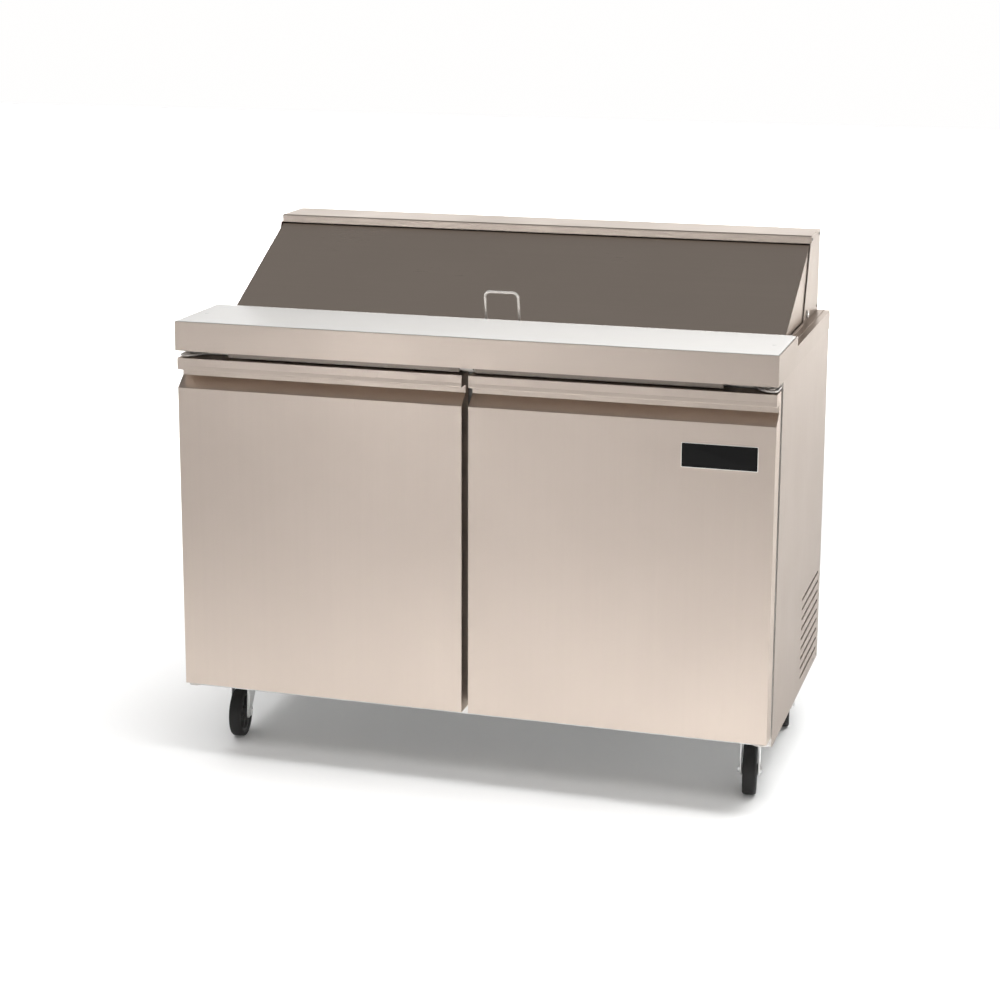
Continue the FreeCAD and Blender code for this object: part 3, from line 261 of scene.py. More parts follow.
def foam_material():
    """Rigid foam, with its cells showing."""
    material, tree, shader = new_material("foam_cells")
    cells = node(tree, "ShaderNodeTexVoronoi",
                 {"Vector": object_place(tree, (420.0, 420.0, 420.0)), "Scale": 1.0})
    factor = remap(tree, cells.outputs["Distance"], 0.0, 0.8, 0.0, 1.0)
    tree.links.new(mix_colour(tree, factor, (0.52, 0.4, 0.2, 1), (0.72, 0.6, 0.36, 1)),
                   shader.inputs["Base Color"])
    tree.links.new(remap(tree, factor, 0.0, 1.0, 0.95, 0.8), shader.inputs["Roughness"])
    bump(tree, shader, cells.outputs["Distance"], 0.5, 0.0006)
    return material


def coil_material():
    """Thin fins catch the light as fine lines across copper-toned shadow."""
    material, tree, shader = new_material("coil_fins", Metallic=1.0)
    wave = node(tree, "ShaderNodeTexWave", {
        "Vector": object_place(tree, (1.0, 1.0, 1.0)), "Scale": 170.0, "Distortion": 0.4,
    }, wave_type="BANDS", bands_direction="X")
    dust = noise(tree, object_place(tree, (60.0, 60.0, 60.0)), 1.0, 3.0)
    tree.links.new(mix_colour(tree, wave.outputs["Fac"], (0.3, 0.27, 0.24, 1),
                              (0.68, 0.68, 0.68, 1)), shader.inputs["Base Color"])
    tree.links.new(remap(tree, dust, 0.3, 0.7, 0.35, 0.5), shader.inputs["Roughness"])
    bump(tree, shader, wave.outputs["Fac"], 0.5, 0.0006)
    return material


WARM = (0.60, 0.515, 0.45)
# A darker copy of WARM for the side panels: painted shade.
WARM_SIDE_PAINTED_SHADE = (0.46, 0.403, 0.362)
GRAZING = (0.62, 0.60, 0.58, 1.0)
ALONG_X = (10.0, 700.0, 700.0)
ALONG_Z = (700.0, 700.0, 9.0)
ALONG_SIDE = (700.0, 10.0, 700.0)
STEEL_UPRIGHT = brushed_steel("steel_brushed_upright", WARM, 0.33, ALONG_Z, 0.02)
# The sides setting paints shade on the faces that look along x.
STEEL_ACROSS = brushed_steel("steel_brushed_across", WARM, 0.31, ALONG_X, 0.01, 0.02, 0.03,
                             sides=0.66)
# Painted shade on the faces that look along x and on the closing strips under the apron.
STEEL_TOP = brushed_steel("steel_brushed_top", WARM, 0.31, ALONG_X, 0.01, 0.02, 0.03,
                          sides=0.66, recess=True)
STEEL_SIDE = brushed_steel("steel_brushed_side_painted_shade", WARM_SIDE_PAINTED_SHADE, 0.36, ALONG_Z, 0.02)
STEEL_RAIL = brushed_steel("steel_brushed_rail", WARM, 0.33, ALONG_SIDE, 0.02, 0.03, 0.04)
# The lid's faces that look along x get painted shade too.
STEEL_LID = brushed_steel("steel_lid", (0.70, 0.595, 0.515), 0.3, ALONG_X, 0.02, 0.02, 0.05,
                          sides=0.62)
STEEL_INNER = brushed_steel("steel_inner", (0.72, 0.70, 0.67), 0.36, (700.0, 700.0, 10.0), 0.02,
                            0.02, 0.04)
STEEL_PAN = brushed_steel("steel_pan", (0.76, 0.75, 0.73), 0.2, (90.0, 90.0, 900.0), 0.03, 0.04)
STEEL_BACK = galvanised("steel_galvanised", (0.60, 0.60, 0.59), 0.42)
BRACKET = plated_metal("bracket_plate", (0.58, 0.55, 0.52), 0.46, 0.1, 0.7)
BRIGHT = plated_metal("bright_steel", (0.80, 0.765, 0.72), 0.34, 0.04, 0.75, 0.04)
SCREW = plated_metal("screw_steel", (0.42, 0.40, 0.38), 0.32, 0.08)
ZINC = plated_metal("zinc_plate", (0.80, 0.80, 0.79), 0.36, 0.06, 0.85)
RUBBER = moulded("wheel_rubber", (0.014, 0.0135, 0.013), 0.55, 900.0, 0.3,
                 Specular_IOR_Level=0.25)
WHEEL_CORE = moulded("wheel_core", (0.045, 0.044, 0.043), 0.42, 1600.0, 0.2)
GASKET = moulded("gasket_vinyl", (0.018, 0.016, 0.014), 0.55, 1500.0, 0.15,
                 Specular_IOR_Level=0.25)
NYLON = moulded("nylon", (0.78, 0.77, 0.72), 0.4, 1500.0, 0.1, 0.03)
WIRE_COAT = moulded("shelf_coating", (0.74, 0.75, 0.75), 0.34, 500.0, 0.2, 0.04)
BLACK_PAINT = moulded("compressor_paint", (0.02, 0.02, 0.021), 0.34, 240.0, 0.2)
BLACK_PLASTIC = moulded("black_plastic", (0.03, 0.03, 0.03), 0.5, 1300.0, 0.3)
BADGE = moulded("badge_enamel", (0.006, 0.006, 0.006), 0.42, 1600.0, 0.03, 0.05,
                Specular_IOR_Level=0.1)
DISPLAY = moulded("display_window", (0.03, 0.006, 0.005), 0.12, 700.0, 0.03)
STUD = moulded("board_stud", (0.42, 0.42, 0.41), 0.45, 1200.0, 0.15)
BOARD = cutting_board_material()
FOAM = foam_material()
COIL = coil_material()

BY_SLOT = {
    "outer_steel": STEEL_ACROSS, "lid_steel": STEEL_LID, "inner_steel": STEEL_INNER,
    "back_steel": STEEL_BACK, "pan_steel": STEEL_PAN, "foam": FOAM, "board": BOARD,
    "gasket": GASKET, "bracket": BRACKET, "bright_steel": BRIGHT, "zinc": ZINC,
    "wheel": RUBBER, "nylon": NYLON, "coated_wire": WIRE_COAT, "shelf_metal": STEEL_BACK,
    "coil": COIL, "compressor_black": BLACK_PAINT, "black_plastic": BLACK_PLASTIC,
    "badge": BADGE,
}
BY_NODE = {
    "door_left_skin": STEEL_UPRIGHT, "door_right_skin": STEEL_UPRIGHT,
    "side_panel_left": STEEL_SIDE, "side_panel_right": STEEL_SIDE,
    "hood_rails": STEEL_RAIL, "worktop": STEEL_TOP,
}
SLOT_OF = {entry["node"]: entry["material_slot"] for entry in frame["record"]["subparts"]}
for name, item in NODES.items():
    finish = BY_NODE.get(name) or BY_SLOT[SLOT_OF[name]]
    if not item.material_slots:
        item.data.materials.append(finish)
    for place in item.material_slots:
        place.material = finish


# ------------------------------------------------------------------ mesh helpers
def spot(x, depth, z):
    return Vector((x, FRONT_Y + depth, z))


def add_prism(bm, outline, axis, low, high):
    """Extrude an outline along x, y or z; it is given as the other two coordinates."""
    def point(u, v, w):
        return {"x": (w, u, v), "y": (u, w, v), "z": (u, v, w)}[axis]

    rings = [[bm.verts.new(point(u, v, w)) for u, v in outline] for w in (low, high)]
    bm.faces.new(rings[0])
    bm.faces.new(rings[1][::-1])
    count = len(outline)
    for i in range(count):
        j = (i + 1) % count
        bm.faces.new((rings[0][i], rings[1][i], rings[1][j], rings[0][j]))


def add_box(bm, x0, x1, y0, y1, z0, z1):
    add_prism(bm, [(x0, y0), (x1, y0), (x1, y1), (x0, y1)], "z", z0, z1)


def round_outline(points, radius, steps=4):
    """The outline with each corner replaced by a short curve."""
    out = []
    count = len(points)
    for i in range(count):
        before, here, after = (Vector(points[(i + k) % count]) for k in (-1, 0, 1))
        cut_in = min(radius, (here - before).length * 0.45)
        cut_out = min(radius, (after - here).length * 0.45)
        start = here + (before - here).normalized() * cut_in
        end = here + (after - here).normalized() * cut_out
        out += [tuple(point) for point in rounded_corner(start, here, end, steps)]
    return out


def rounded_corner(start, corner, end, steps):
    """Points on a short curve that starts and ends on the two sides of a corner."""
    return [(1 - t) ** 2 * start + 2 * t * (1 - t) * corner + t * t * end
            for t in (k / steps for k in range(steps + 1))]


def axes_for(direction):
    along = Vector(direction).normalized()
    side = along.orthogonal().normalized()
    return along, side, along.cross(side)


def add_ring(bm, centre, radius, side, up, steps, turn=0.0):
    """Points round a centre, evenly spaced."""
    angles = [2 * math.pi * (k + turn) / steps for k in range(steps)]
    return [bm.verts.new(centre + radius * (math.cos(a) * side + math.sin(a) * up))
            for a in angles]


def add_bridge(bm, first, second):
    """Join two rings of the same length with four-sided faces."""
    count = len(first)
    for i in range(count):
        j = (i + 1) % count
        bm.faces.new((first[i], first[j], second[j], second[i]))


def merge_into(whole, part):
    """Add one mesh to another, and let go of the first."""
    holder = bpy.data.meshes.new("part")
    part.to_mesh(holder)
    part.free()
    whole.from_mesh(holder)
    bpy.data.meshes.remove(holder)


def add_lathe(bm, profile, centre, direction, steps=48, turn=0.0):
    """Turn a closed (radius, along) profile about a line; radius 0 closes the end."""
    along, side, up = axes_for(direction)
    centre = Vector(centre)
    rings = []
    for radius, shift in profile:
        base = centre + along * shift
        if radius < 1e-6:
            rings.append([bm.verts.new(base)])
            continue
        rings.append(add_ring(bm, base, radius, side, up, steps, turn))
    pairs = list(zip(rings, rings[1:]))
    if len(rings[0]) > 1 and len(rings[-1]) > 1:
        pairs.append((rings[-1], rings[0]))
    for first, second in pairs:
        for k in range(steps):
            j = (k + 1) % steps
            corners = [first[k % len(first)], first[j % len(first)],
                       second[j % len(second)], second[k % len(second)]]
            unique = list(dict.fromkeys(corners))
            if len(unique) > 2:
                bm.faces.new(unique)


def add_tube(bm, points, radius, sides=14):
    """A round bar along a line of points, with closed ends."""
    points = [Vector(p) for p in points]
    heading = (points[1] - points[0]).normalized()
    _, side, _ = axes_for(heading)
    rings = []
    for i, here in enumerate(points):
        before = points[max(i - 1, 0)]
        after = points[min(i + 1, len(points) - 1)]
        heading = (after - before).normalized()
        side = (side - side.dot(heading) * heading).normalized()
        up = heading.cross(side)
        rings.append(add_ring(bm, here, radius, side, up, sides))
    bm.faces.new(rings[0])
    bm.faces.new(rings[-1][::-1])
    for first, second in zip(rings, rings[1:]):
        add_bridge(bm, first, second)


def bent_line(points, radius, steps=6):
    """A line of points with its corners rounded."""
    points = [Vector(p) for p in points]
    out = [points[0]]
    for before, here, after in zip(points, points[1:], points[2:]):
        start = here + (before - here).normalized() * radius
        end = here + (after - here).normalized() * radius
        out += rounded_corner(start, here, end, steps)
    return out + [points[-1]]


def add_frame(bm, profile, x0, x1, z0, z1):
    """Sweep an (inset, depth) profile round an upright rectangle with mitred corners."""
    rings = []
    for sx, sz in ((0, 0), (1, 0), (1, 1), (0, 1)):
        ring = []
        for inset, depth in profile:
            x = x1 - inset if sx else x0 + inset
            z = z1 - inset if sz else z0 + inset
            ring.append(bm.verts.new(spot(x, depth, z)))
        rings.append(ring)
    for first, second in zip(rings, rings[1:] + rings[:1]):
        add_bridge(bm, first, second)


def add_hex(bm, centre, direction, across, tall, turn=0.0):
    """A hexagon head or nut with a chamfered top, on a flange washer."""
    radius = across / math.sqrt(3)
    add_lathe(bm, [(0, 0), (radius * 1.25, 0), (radius * 1.25, 0.5), (radius * 1.05, 0.9),
                   (0, 0.9)], centre, direction, 32)
    add_lathe(bm, [(0, 0.9), (radius, 0.9), (radius, tall - 0.6), (radius * 0.86, tall),
                   (0, tall)], centre, direction, 6, turn)


def add_cross_head(bm, centre, direction, radius, tall):
    """A pan head with a cross recess."""
    along, side, up = axes_for(direction)
    centre = Vector(centre)
    steps = 32
    dome = ((1.0, 0.0), (1.0, 0.25), (0.95, 0.6), (0.82, 0.86), (0.66, 1.0))
    rings = [add_ring(bm, centre + along * (tall * h), radius * r, side, up, steps)
             for r, h in dome]
    bm.faces.new(rings[0])
    for first, second in zip(rings, rings[1:]):
        add_bridge(bm, first, second)
    arm, half = radius * 0.5, radius * 0.13
    cross = [(half, half), (half, arm), (-half, arm), (-half, half), (-arm, half), (-arm, -half),
             (-half, -half), (-half, -arm), (half, -arm), (half, -half), (arm, -half), (arm, half)]
    top = [bm.verts.new(centre + along * tall + a * side + b * up) for a, b in cross]
    low = [bm.verts.new(centre + along * tall * 0.45 + 0.55 * (a * side + b * up))
           for a, b in cross]
    rim = [bm.edges.get((rings[-1][k], rings[-1][(k + 1) % steps])) for k in range(steps)]
    mouth = [bm.edges.new(pair) for pair in zip(top, top[1:] + top[:1])]
    bmesh.ops.triangle_fill(bm, use_beauty=True, edges=rim + mouth)
    add_bridge(bm, top, low)
    bm.faces.new(low)


def soften(bm, width, segments=2, angle=35.0):
    """Round the sharp edges of what is in the mesh so far."""
    bm.normal_update()
    limit = math.radians(angle)
    sharp = [e for e in bm.edges if len(e.link_faces) == 2 and e.calc_face_angle(0) > limit]
    bmesh.ops.bevel(bm, geom=sharp, offset=width, offset_type="OFFSET", segments=segments,
                    profile=0.5, affect="EDGES", clamp_overlap=True)


def make_piece(name, bm, material, body, move=None, sharp_angle=40.0):
    """Turn a millimetre mesh into an object that rides on a body."""
    if move is not None:
        bm.transform(move)
    bm.transform(Matrix.Scale(MM, 4))
    bmesh.ops.recalc_face_normals(bm, faces=bm.faces)
    limit = math.radians(sharp_angle)
    for face in bm.faces:
        face.smooth = True
    for edge in bm.edges:
        edge.smooth = len(edge.link_faces) == 2 and edge.calc_face_angle(0) < limit
    mesh = bpy.data.meshes.new(name)
    bm.to_mesh(mesh)
    bm.free()
    mesh.materials.append(material)
    made = bpy.data.objects.new(name, mesh)
    bpy.context.scene.collection.objects.link(made)
    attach(made, body)
    return made


def to_side(sign):
    """The right side as drawn for 1, and its mirror image for -1."""
    return Matrix.Diagonal((sign, 1, 1, 1))


# ------------------------------------------------------------------------ wheels
WHEEL_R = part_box("caster_wheel_front_left")[1].z / MM / 2
DRAWN_R = 51.0      # the radius that the tyre's profile is drawn for
TRAIL = 30.0
HUB_HALF = 16.0
CASTER_TURN = math.radians(8.0)
CASTER_X = 552.0
CASTER_DEPTHS = {"front": 172.0, "rear": 578.0}


def caster_matrix(corner):
    """From a caster's own place, swivel axis at the origin, to its corner."""
    end, side = corner.split("_")
    x = CASTER_X if side == "right" else -CASTER_X
    place = Matrix.Translation(spot(x, CASTER_DEPTHS[end], 0))
    return place @ Matrix.Rotation(CASTER_TURN, 4, "Z")


def build_tyre(corner, move):
    """A crowned tread on a rounded shoulder."""
    bm = bmesh.new()
    drawn = ((38.5, 10.6), (40.2, 12.2), (43.0, 13.4), (46.0, 13.9), (48.3, 13.1),
             (49.8, 11.4), (50.5, 9.4), (50.85, 6.5), (50.95, 3.5), (50.95, 1.0), (51.0, 0.5))
    half = [(r * WHEEL_R / DRAWN_R, x) for r, x in drawn]
    profile = half + [(r, -x) for r, x in reversed(half)]
    add_lathe(bm, profile, (0, -TRAIL, WHEEL_R), (1, 0, 0), 72)
    tyre = make_piece(f"tyre_{corner}", bm, RUBBER, f"wheel_{corner}", move)
    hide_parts(f"caster_wheel_{corner}")


def build_wheel_core(corner, move):
    """Moulded web with six ribs a side, a hub, and a bearing at each end of it."""
    bm = bmesh.new()
    centre = Vector((0, -TRAIL, WHEEL_R))
    web = [(13.2, 6.0), (33.5, 5.0), (35.5, 7.0), (36.0, 10.4), (38.4, 10.6)]
    add_lathe(bm, web + [(r, -x) for r, x in reversed(web)], centre, (1, 0, 0), 64)
    hub = [(7.6, HUB_HALF - 0.4), (11.4, HUB_HALF - 0.4), (12.6, HUB_HALF - 1.4), (13.2, 5.6)]
    add_lathe(bm, hub + [(r, -x) for r, x in reversed(hub)], centre, (1, 0, 0), 48)
    for k in range(6):
        turn = Matrix.Rotation(k * math.pi / 3, 3, "X")
        for sign in (-1, 1):
            corners = [(sign * x, r, s * 1.3) for s in (-1, 1) for x, r in
                       ((5.4, 12.8), (11.0, 12.8), (9.4, 36.2), (5.4, 36.2))]
            verts = [bm.verts.new(centre + turn @ Vector(c)) for c in corners]
            for face in ((0, 1, 2, 3), (7, 6, 5, 4), (0, 4, 5, 1), (1, 5, 6, 2), (2, 6, 7, 3),
                         (3, 7, 4, 0)):
                bm.faces.new([verts[i] for i in face])
    make_piece(f"wheel_core_{corner}", bm, WHEEL_CORE, f"wheel_{corner}", move)
    bm = bmesh.new()
    for sign in (-1, 1):
        ring = [(4.2, HUB_HALF - 3), (7.4, HUB_HALF - 3), (7.4, HUB_HALF - 0.2),
                (6.9, HUB_HALF), (4.8, HUB_HALF), (4.2, HUB_HALF - 0.5)]
        add_lathe(bm, [(r, sign * x) for r, x in ring], centre, (1, 0, 0), 32)
    make_piece(f"wheel_bearing_{corner}", bm, ZINC, f"wheel_{corner}", move)


def build_fork(corner, move, with_brake):
    """Pressed legs, ball-race crown and axle bolt."""
    bm = bmesh.new()
    inner, outer = 16.5, 19.5
    leg = [(-34, 112), (26, 112), (30, 100), (27, 87), (-15, 46), (-23, 39.5), (-37, 39.5),
           (-43.5, 47), (-42, 62)]
    rib = [(-29, 105), (13, 105), (15, 97), (-24, 62), (-35, 62)]
    for sign in (-1, 1):
        low, high = sorted((sign * inner, sign * outer))
        add_prism(bm, round_outline(leg, 6), "x", low, high)
    soften(bm, 0.6)
    ribs = bmesh.new()
    for sign in (-1, 1):
        low, high = sorted((sign * (outer - 0.2), sign * (outer + 1.1)))
        add_prism(ribs, round_outline(rib, 6), "x", low, high)
    soften(ribs, 0.9)
    merge_into(bm, ribs)
    add_prism(bm, round_outline([(-outer, -33.5), (outer, -33.5), (outer, 25.5),
                                 (-outer, 25.5)], 4), "z", 108, 111.9)
    add_lathe(bm, [(6.2, 104.6), (24, 104.6), (27.6, 106.2), (30.2, 109.0), (31.0, 111.0),
                   (30.4, 111.9), (6.2, 111.9)], (0, 0, 0), (0, 0, 1), 64)
    axle = Vector((0, -TRAIL, WHEEL_R))
    add_lathe(bm, [(0, -outer - 1), (3.9, -outer - 1), (3.9, outer + 1), (0, outer + 1)], axle,
              (1, 0, 0), 24)
    add_hex(bm, axle + Vector((outer, 0, 0)), (1, 0, 0), 13, 5.6)
    add_hex(bm, axle - Vector((outer, 0, 0)), (-1, 0, 0), 13, 5.2, 0.5)
    add_lathe(bm, [(0, 0), (3.6, 0), (3.2, 2.0), (0, 2.0)],
              axle - Vector((outer + 4.4, 0, 0)), (-1, 0, 0), 24)
    if with_brake:
        pin = Vector((0, 20, 95))
        add_lathe(bm, [(0, -outer - 0.8), (2.4, -outer - 0.8), (2.4, outer + 0.8),
                       (0, outer + 0.8)], pin, (1, 0, 0), 20)
        for sign in (-1, 1):
            add_lathe(bm, [(0, 0), (3.8, 0), (3.6, 0.7), (2.4, 1.3), (0, 1.5)],
                      pin + Vector((sign * outer, 0, 0)), (sign, 0, 0), 24)
    fork = make_piece(f"fork_{corner}", bm, ZINC, f"caster_{corner}", move)
    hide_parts(f"caster_fork_{corner}")


def build_brake(corner, move):
    """Pressed foot pedal with a rolled toe, side flanges and a shoe at the tread."""
    bm = bmesh.new()
    tilt = math.radians(12)

    def turned(y, z):
        return (20 + y * math.cos(tilt) - z * math.sin(tilt),
                95 + y * math.sin(tilt) + z * math.cos(tilt))

    tread = [turned(y, z) for y, z in ((3, -1.3), (38, -1.3), (43, -3.6), (45, -3.0),
                                       (44, -0.6), (39, 1.4), (3, 1.4))]
    add_prism(bm, tread, "x", -14.8, 14.8)
    for sign in (-1, 1):
        low, high = sorted((sign * 12.6, sign * 14.8))
        wing = [turned(y, z) for y, z in ((-4.6, 2), (-3.4, 4.4), (4, 4.8), (34, 2.0),
                                          (34, -5.2), (8, -5.8), (-3, -4.6))]
        add_prism(bm, round_outline(wing, 2), "x", low, high)
    soften(bm, 0.5)
    for y in (12, 19, 26, 33):
        ridge = turned(y, 1.2)
        add_tube(bm, [(-10, *ridge), (10, *ridge)], 1.0, 8)
    add_prism(bm, [(16, 95), (22, 92), (14.7, 82.1), (12.3, 83.9)], "x", -11.8, 11.8)
    add_tube(bm, [(-11.8, 13.5, 83), (11.8, 13.5, 83)], 1.5, 16)
    add_lathe(bm, [(2.6, -14.9), (4.9, -14.9), (4.9, 14.9), (2.6, 14.9)], (0, 20, 95),
              (1, 0, 0), 32)
    lever = make_piece(f"brake_{corner}", bm, ZINC, f"brake_{corner}", move)
    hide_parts(f"caster_brake_{corner}")


def build_caster_plates():
    """Top plates with bolts at the corners, pressed race cups and kingpin nuts."""
    plates = bmesh.new()
    bolts = bmesh.new()
    for corner in CORNERS:
        bm = bmesh.new()
        add_prism(bm, round_outline([(-52, -42), (52, -42), (52, 42), (-52, 42)], 8), "z",
                  129, 132.9)
        soften(bm, 0.6)
        add_lathe(bm, [(6, 112.3), (26.5, 112.3), (28.6, 113.6), (29.0, 117.0), (27.2, 120.5),
                       (24.0, 122.6), (23.4, 126.5), (25.4, 129.1), (6, 129.1)],
                  (0, 0, 0), (0, 0, 1), 64)
        add_hex(bm, (0, 0, 107.7), (0, 0, -1), 16, 4.6)
        add_lathe(bm, [(0, 104), (5.9, 104), (5.9, 113), (0, 113)], (0, 0, 0), (0, 0, 1), 24)
        bm.transform(caster_matrix(corner))
        merge_into(plates, bm)
        bm = bmesh.new()
        for sx in (-1, 1):
            for sy in (-1, 1):
                add_hex(bm, (sx * 40, sy * 32, 129), (0, 0, -1), 10, 4.8, 0.3 * sx)
        bm.transform(caster_matrix(corner))
        merge_into(bolts, bm)
    piece = make_piece("caster_top_plates", plates, ZINC, "cabinet")
    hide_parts("caster_plates")
    piece = make_piece("caster_plate_bolts", bolts, ZINC, "cabinet")
    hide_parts("caster_bolts")


for corner in CORNERS:
    build_tyre(corner, caster_matrix(corner))
    build_wheel_core(corner, caster_matrix(corner))
    build_fork(corner, caster_matrix(corner), corner.startswith("front"))
for corner in CORNERS[:2]:
    build_brake(corner, caster_matrix(corner))
build_caster_plates()


# ---------------------------------------------------------------- hinge hardware
HINGE_X = 597.0
HINGE_DEPTH = 24.0
FRAME_DEPTH = 62.0


def bracket_leaf(bm, z0, z1, flange_z0, flange_z1):
    """A flat leaf that carries a hinge pin, with a flange on the cabinet's frame."""
    leaf = [(609, 61.9), (609, 17), (603, 10), (590, 10), (578, 18), (560, 44), (512, 50),
            (509, 54), (509, 61.9)]
    outline = [(x, FRONT_Y + depth) for x, depth in round_outline(leaf, 3)]
    add_prism(bm, outline, "z", z0, z1)
    add_box(bm, 509, 609, FRONT_Y + FRAME_DEPTH - 2.5, FRONT_Y + FRAME_DEPTH - 0.1,
            flange_z0, flange_z1)
    soften(bm, 0.4)


def build_brackets():
    """Upper and lower hinge brackets, and the stop between the doors."""
    bm = bmesh.new()
    for sign in (1, -1):
        part = bmesh.new()
        bracket_leaf(part, 851, 855, 851, 863)
        bracket_leaf(part, 150.5, 154.5, 137, 154.5)
        # A raised bead stiffens each leaf between its flange and the pin.
        for z in (855.2, 150.3):
            run = bent_line([spot(603, 52, z), spot(603, 36, z), spot(585, 26, z)], 6)
            add_tube(part, run, 1.0, 10)
        bmesh.ops.transform(part, matrix=to_side(sign), verts=part.verts)
        merge_into(bm, part)
    stop = bmesh.new()
    add_box(stop, -13, 13, FRONT_Y + 14, FRONT_Y + FRAME_DEPTH - 0.1, 858, 863.4)
    add_box(stop, -13, 13, FRONT_Y + 30, FRONT_Y + 50, 851.5, 858.2)
    soften(stop, 0.5)
    merge_into(bm, stop)
    piece = make_piece("hinge_brackets", bm, BRACKET, "cabinet")
    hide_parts("door_brackets")


def build_hinge_pins():
    """Shouldered pins with domed heads, and the springs that close the doors."""
    bm = bmesh.new()
    for sign in (1, -1):
        for z0, z1, head_z, up in ((838, 855.1, 855.1, 1), (150.4, 169, 150.4, -1)):
            axis = spot(sign * HINGE_X, HINGE_DEPTH, 0)
            add_lathe(bm, [(0, z0), (3.4, z0), (3.9, z0 + 0.6), (3.9, z1 - 0.6), (3.4, z1),
                           (0, z1)], axis, (0, 0, 1), 24)
            add_lathe(bm, [(0, 0), (6.4, 0), (6.4, 1.2), (5.4, 2.3), (3.0, 2.8), (0, 2.9)],
                      axis + Vector((0, 0, head_z)), (0, 0, up), 32)
        for x in (521, 551):
            add_hex(bm, spot(sign * x, 56, 855), (0, 0, 1), 7, 3.6)
    piece = make_piece("door_hinge_pins", bm, BRIGHT, "cabinet")
    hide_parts("hinge_pins")
    # The closing spring lies along each upper bracket, hooked to the pin.
    bm = bmesh.new()
    turns, steps = 9, 14
    start, run, height = 561, 22, 858.4
    coil_r, wire_r = 2.6, 0.65
    for sign in (1, -1):
        coil = []
        for k in range(turns * steps + 1):
            angle = 2 * math.pi * k / steps
            x = start + run * k / (turns * steps)
            coil.append(spot(sign * x, 40 - 13 * (x - start) / run + coil_r * math.cos(angle),
                             height + coil_r * math.sin(angle)))
        add_tube(bm, coil, wire_r, 8)
        add_tube(bm, bent_line([coil[-1], spot(sign * 588, 22, 858.5),
                                spot(sign * 594, 24, 857.6)], 2, 3), wire_r, 8)
        add_tube(bm, bent_line([coil[0], spot(sign * 552, 48, height),
                                spot(sign * 545, 54, 857.4)], 2, 3), wire_r, 8)
    make_piece("door_closing_springs", bm, BRIGHT, "cabinet")


def build_screws():
    """Every small screw head of the cabinet, with its cross recess."""
    bm = bmesh.new()
    side_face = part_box("side_panel_right")[1].x / MM
    hood_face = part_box("hood_canopy")[1].x / MM
    back_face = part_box("back_panel")[1].y / MM
    for sign in (1, -1):
        for depth, z in ((592, 141), (632, 141)):
            add_cross_head(bm, spot(sign * side_face, depth, z), (sign, 0, 0), 3.6, 1.15)
        for depth, z in ((538, 1068), (632, 1068), (634, 915)):
            add_cross_head(bm, spot(sign * hood_face, depth, z), (sign, 0, 0), 3.6, 1.7)
        for x in (535, 565):
            for z in (859, 144):
                add_cross_head(bm, spot(sign * x, FRAME_DEPTH - 2.6, z), (0, -1, 0), 3.5, 1.9)
        for x in (300, 595):
            for z in (500, 840):
                add_cross_head(bm, Vector((sign * x, back_face, z)), (0, 1, 0), 4.0, 1.0)
    piece = make_piece("screw_heads", bm, SCREW, "cabinet")
    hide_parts("cabinet_screws")


build_brackets()
build_hinge_pins()
build_screws()


# ------------------------------------------------------------------------- doors
def build_gasket(side, sign):
    """Magnetic bellows gasket, mitred at the corners."""
    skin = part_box("door_right_skin")
    x0, x1 = skin[0].x / MM, skin[1].x / MM
    z0, z1 = skin[0].z / MM, skin[1].z / MM
    rear = 49.1
    profile = [(12.4, rear), (25.6, rear), (25.6, rear + 1.6), (23.4, rear + 2.8),
               (25.0, rear + 4.4), (23.4, rear + 6.0), (25.2, rear + 8.0), (25.0, rear + 11.2),
               (24.2, rear + 12.3), (14.0, rear + 12.3), (13.1, rear + 11.4),
               (13.0, rear + 8.0), (14.8, rear + 6.0), (13.2, rear + 4.4), (14.8, rear + 2.8),
               (12.4, rear + 1.6)]
    bm = bmesh.new()
    add_frame(bm, profile, x0, x1, z0, z1)
    piece = make_piece(f"gasket_{side}", bm, GASKET, f"door_{side}", to_side(sign),
                       55.0)
    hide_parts(f"door_{side}_gasket")


def build_grip_hem(side, sign):
    """The folded edge along the bottom of the grip's lip."""
    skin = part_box("door_right_skin")
    x0, x1 = skin[0].x / MM + 0.3, skin[1].x / MM - 0.3
    top = skin[1].z / MM
    hem = [(4.0, top - 16.0), (3.35, top - 21.0), (3.15, top - 22.2), (3.15, top - 23.6),
           (3.5, top - 24.4), (4.4, top - 24.9), (5.6, top - 24.9), (5.6, top - 16.0)]
    bm = bmesh.new()
    add_prism(bm, [(FRONT_Y + depth, z) for depth, z in hem], "x", x0, x1)
    make_piece(f"grip_hem_{side}", bm, STEEL_ACROSS, f"door_{side}",
               to_side(sign), 50.0)


def build_badge():
    """A blank plate: bright rim, dark enamel field."""
    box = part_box("door_right_badge")
    x0, x1 = box[0].x / MM, box[1].x / MM
    z0, z1 = box[0].z / MM, box[1].z / MM
    face = box[0].y / MM
    bm = bmesh.new()
    outer = round_outline([(x0, z0), (x1, z0), (x1, z1), (x0, z1)], 2.2)
    add_prism(bm, outer, "y", face + 0.25, face + 1.5)
    soften(bm, 0.25)
    rim = make_piece("badge_rim", bm, BRIGHT, "door_right")
    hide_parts("door_right_badge")
    bm = bmesh.new()
    inset = 1.3
    field = round_outline([(x0 + inset, z0 + inset), (x1 - inset, z0 + inset),
                           (x1 - inset, z1 - inset), (x0 + inset, z1 - inset)], 1.8)
    add_prism(bm, field, "y", face, face + 0.6)
    soften(bm, 0.2)
    make_piece("badge_field", bm, BADGE, "door_right")


for side, sign in (("right", 1), ("left", -1)):
    build_gasket(side, sign)
    build_grip_hem(side, sign)
build_badge()


